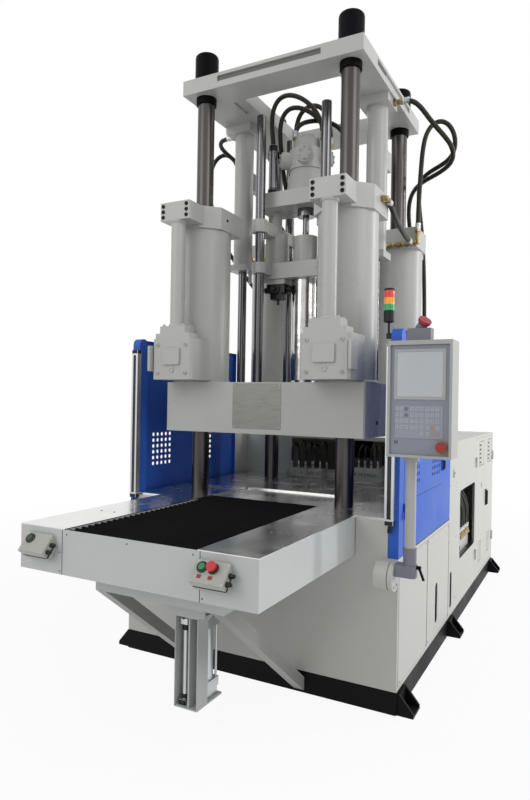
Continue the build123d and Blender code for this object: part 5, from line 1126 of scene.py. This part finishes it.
# Ejector sensor: a black moulded plug and knee pushed on the top of its steel tube, collars clamped
# round it, and a black switch at its foot.
SENSOR_FOOT = np.array([-30, -2135, 0])
plugs = [put(hoop([(14.4, 440), (17, 442), (17, 466), (14.4, 468)], 24), SENSOR_FOOT),
         put(turned([(14, 500), (17, 500.4), (17, 514), (12, 518), (1, 518)], 24), SENSOR_FOOT),
         put(turned([(9, 8), (9, 26), (6, 30), (1, 30)], 20), SENSOR_FOOT + (0, 0, 505), "front"),
         put(hoop([(14.4, 112), (17, 114), (17, 132), (14.4, 134)], 24), SENSOR_FOOT),
         put(slab(36, 18, 9, 3, 1.5), SENSOR_FOOT + (0, -20, 97), "front")]
piece("ejector_plugs", plugs, black_plastic, "frame")

# Drum under the control panel's arm: six zinc-plated cap screws in a circle on its side hold its cap,
# as on a slewing bearing.
DRUM = (829, -1715, 724)
BOLT_CIRCLE = 50
drum_bolts = [put(socket_screw(7, 6), (DRUM[0] + 45, DRUM[1] + BOLT_CIRCLE * math.cos(angle),
                                       DRUM[2] + BOLT_CIRCLE * math.sin(angle)), "right")
              for angle in np.arange(6) * math.pi / 3]
piece("drum_bolts", drum_bolts, zinc_plate, "frame")

# Screw motor: a round painted cover with six cap screws over each of its five cylinders, and two
# rings of flange screws round the case.
MOTOR_Z = 3063
LOBES = 5
LOBE_START = 216
LOBE_OUT = 167
LOBE_Z = MOTOR_Z + 64
LOBE_BOLTS = 35
lobe_cover = turned([(44, 0), (44, 6), (42, 9), (24, 10), (20, 7), (0.5, 7)], 36)
lobe_covers = []
motor_screws = []
for number in range(LOBES):
    angle = math.radians(LOBE_START + number * 360 / LOBES)
    out = np.array([math.cos(angle), math.sin(angle), 0])
    side = np.array([-math.sin(angle), math.cos(angle), 0])
    turn = np.array([side, [0, 0, 1], out])
    centre = np.array([0, CLAMP_Y, LOBE_Z]) + out * LOBE_OUT
    lobe_covers.append(put(lobe_cover, centre, turn))
    for bolt in range(6):
        around = bolt * math.pi / 3 + math.pi / 6
        bolt_place = out * 9 + side * LOBE_BOLTS * math.cos(around) + (0, 0, LOBE_BOLTS * math.sin(around))
        motor_screws.append(put(socket_screw(5.5, 7), centre + bolt_place, turn))
for bolt in range(12):
    way = np.array([math.cos(bolt * math.pi / 6), math.sin(bolt * math.pi / 6), 0])
    for r, circle, level in ((7, 100, 130), (6.5, 76, 208)):
        motor_screws.append(put(socket_screw(r, 9), circle * way + (0, CLAMP_Y, MOTOR_Z + level)))
piece("motor_covers", lobe_covers, casting_enamel, "crosshead")
piece("motor_screws", motor_screws, casting_enamel, "crosshead")

# Stroke sensor on the crosshead: a thin anodised aluminium tube, slid over its rod and held by a
# turned black end at its foot and at its top.
SENSOR_PLACE = (-200, CLAMP_Y - 99, 0)
sensor_tube = coat("sensor_tube", (0.22, 0.22, 0.23), 0.30, metal=1.0, cloud=0.06)
sleeve = hoop([(26.8, 2946), (27.6, 2946), (27.6, 3200), (26.8, 3200)], 36)
sensor_ends = [turned([(33.6, 2917.5), (33.6, 2940), (29, 2952), (27.5, 2952)], 36),
               turned([(27.5, 3196), (28.4, 3198), (28.4, 3234), (24, 3238), (10, 3238)], 36)]
piece("sensor_sleeve", [put(sleeve, SENSOR_PLACE)], sensor_tube, "crosshead")
piece("sensor_ends", [put(end, SENSOR_PLACE) for end in sensor_ends], black_plastic, "crosshead")
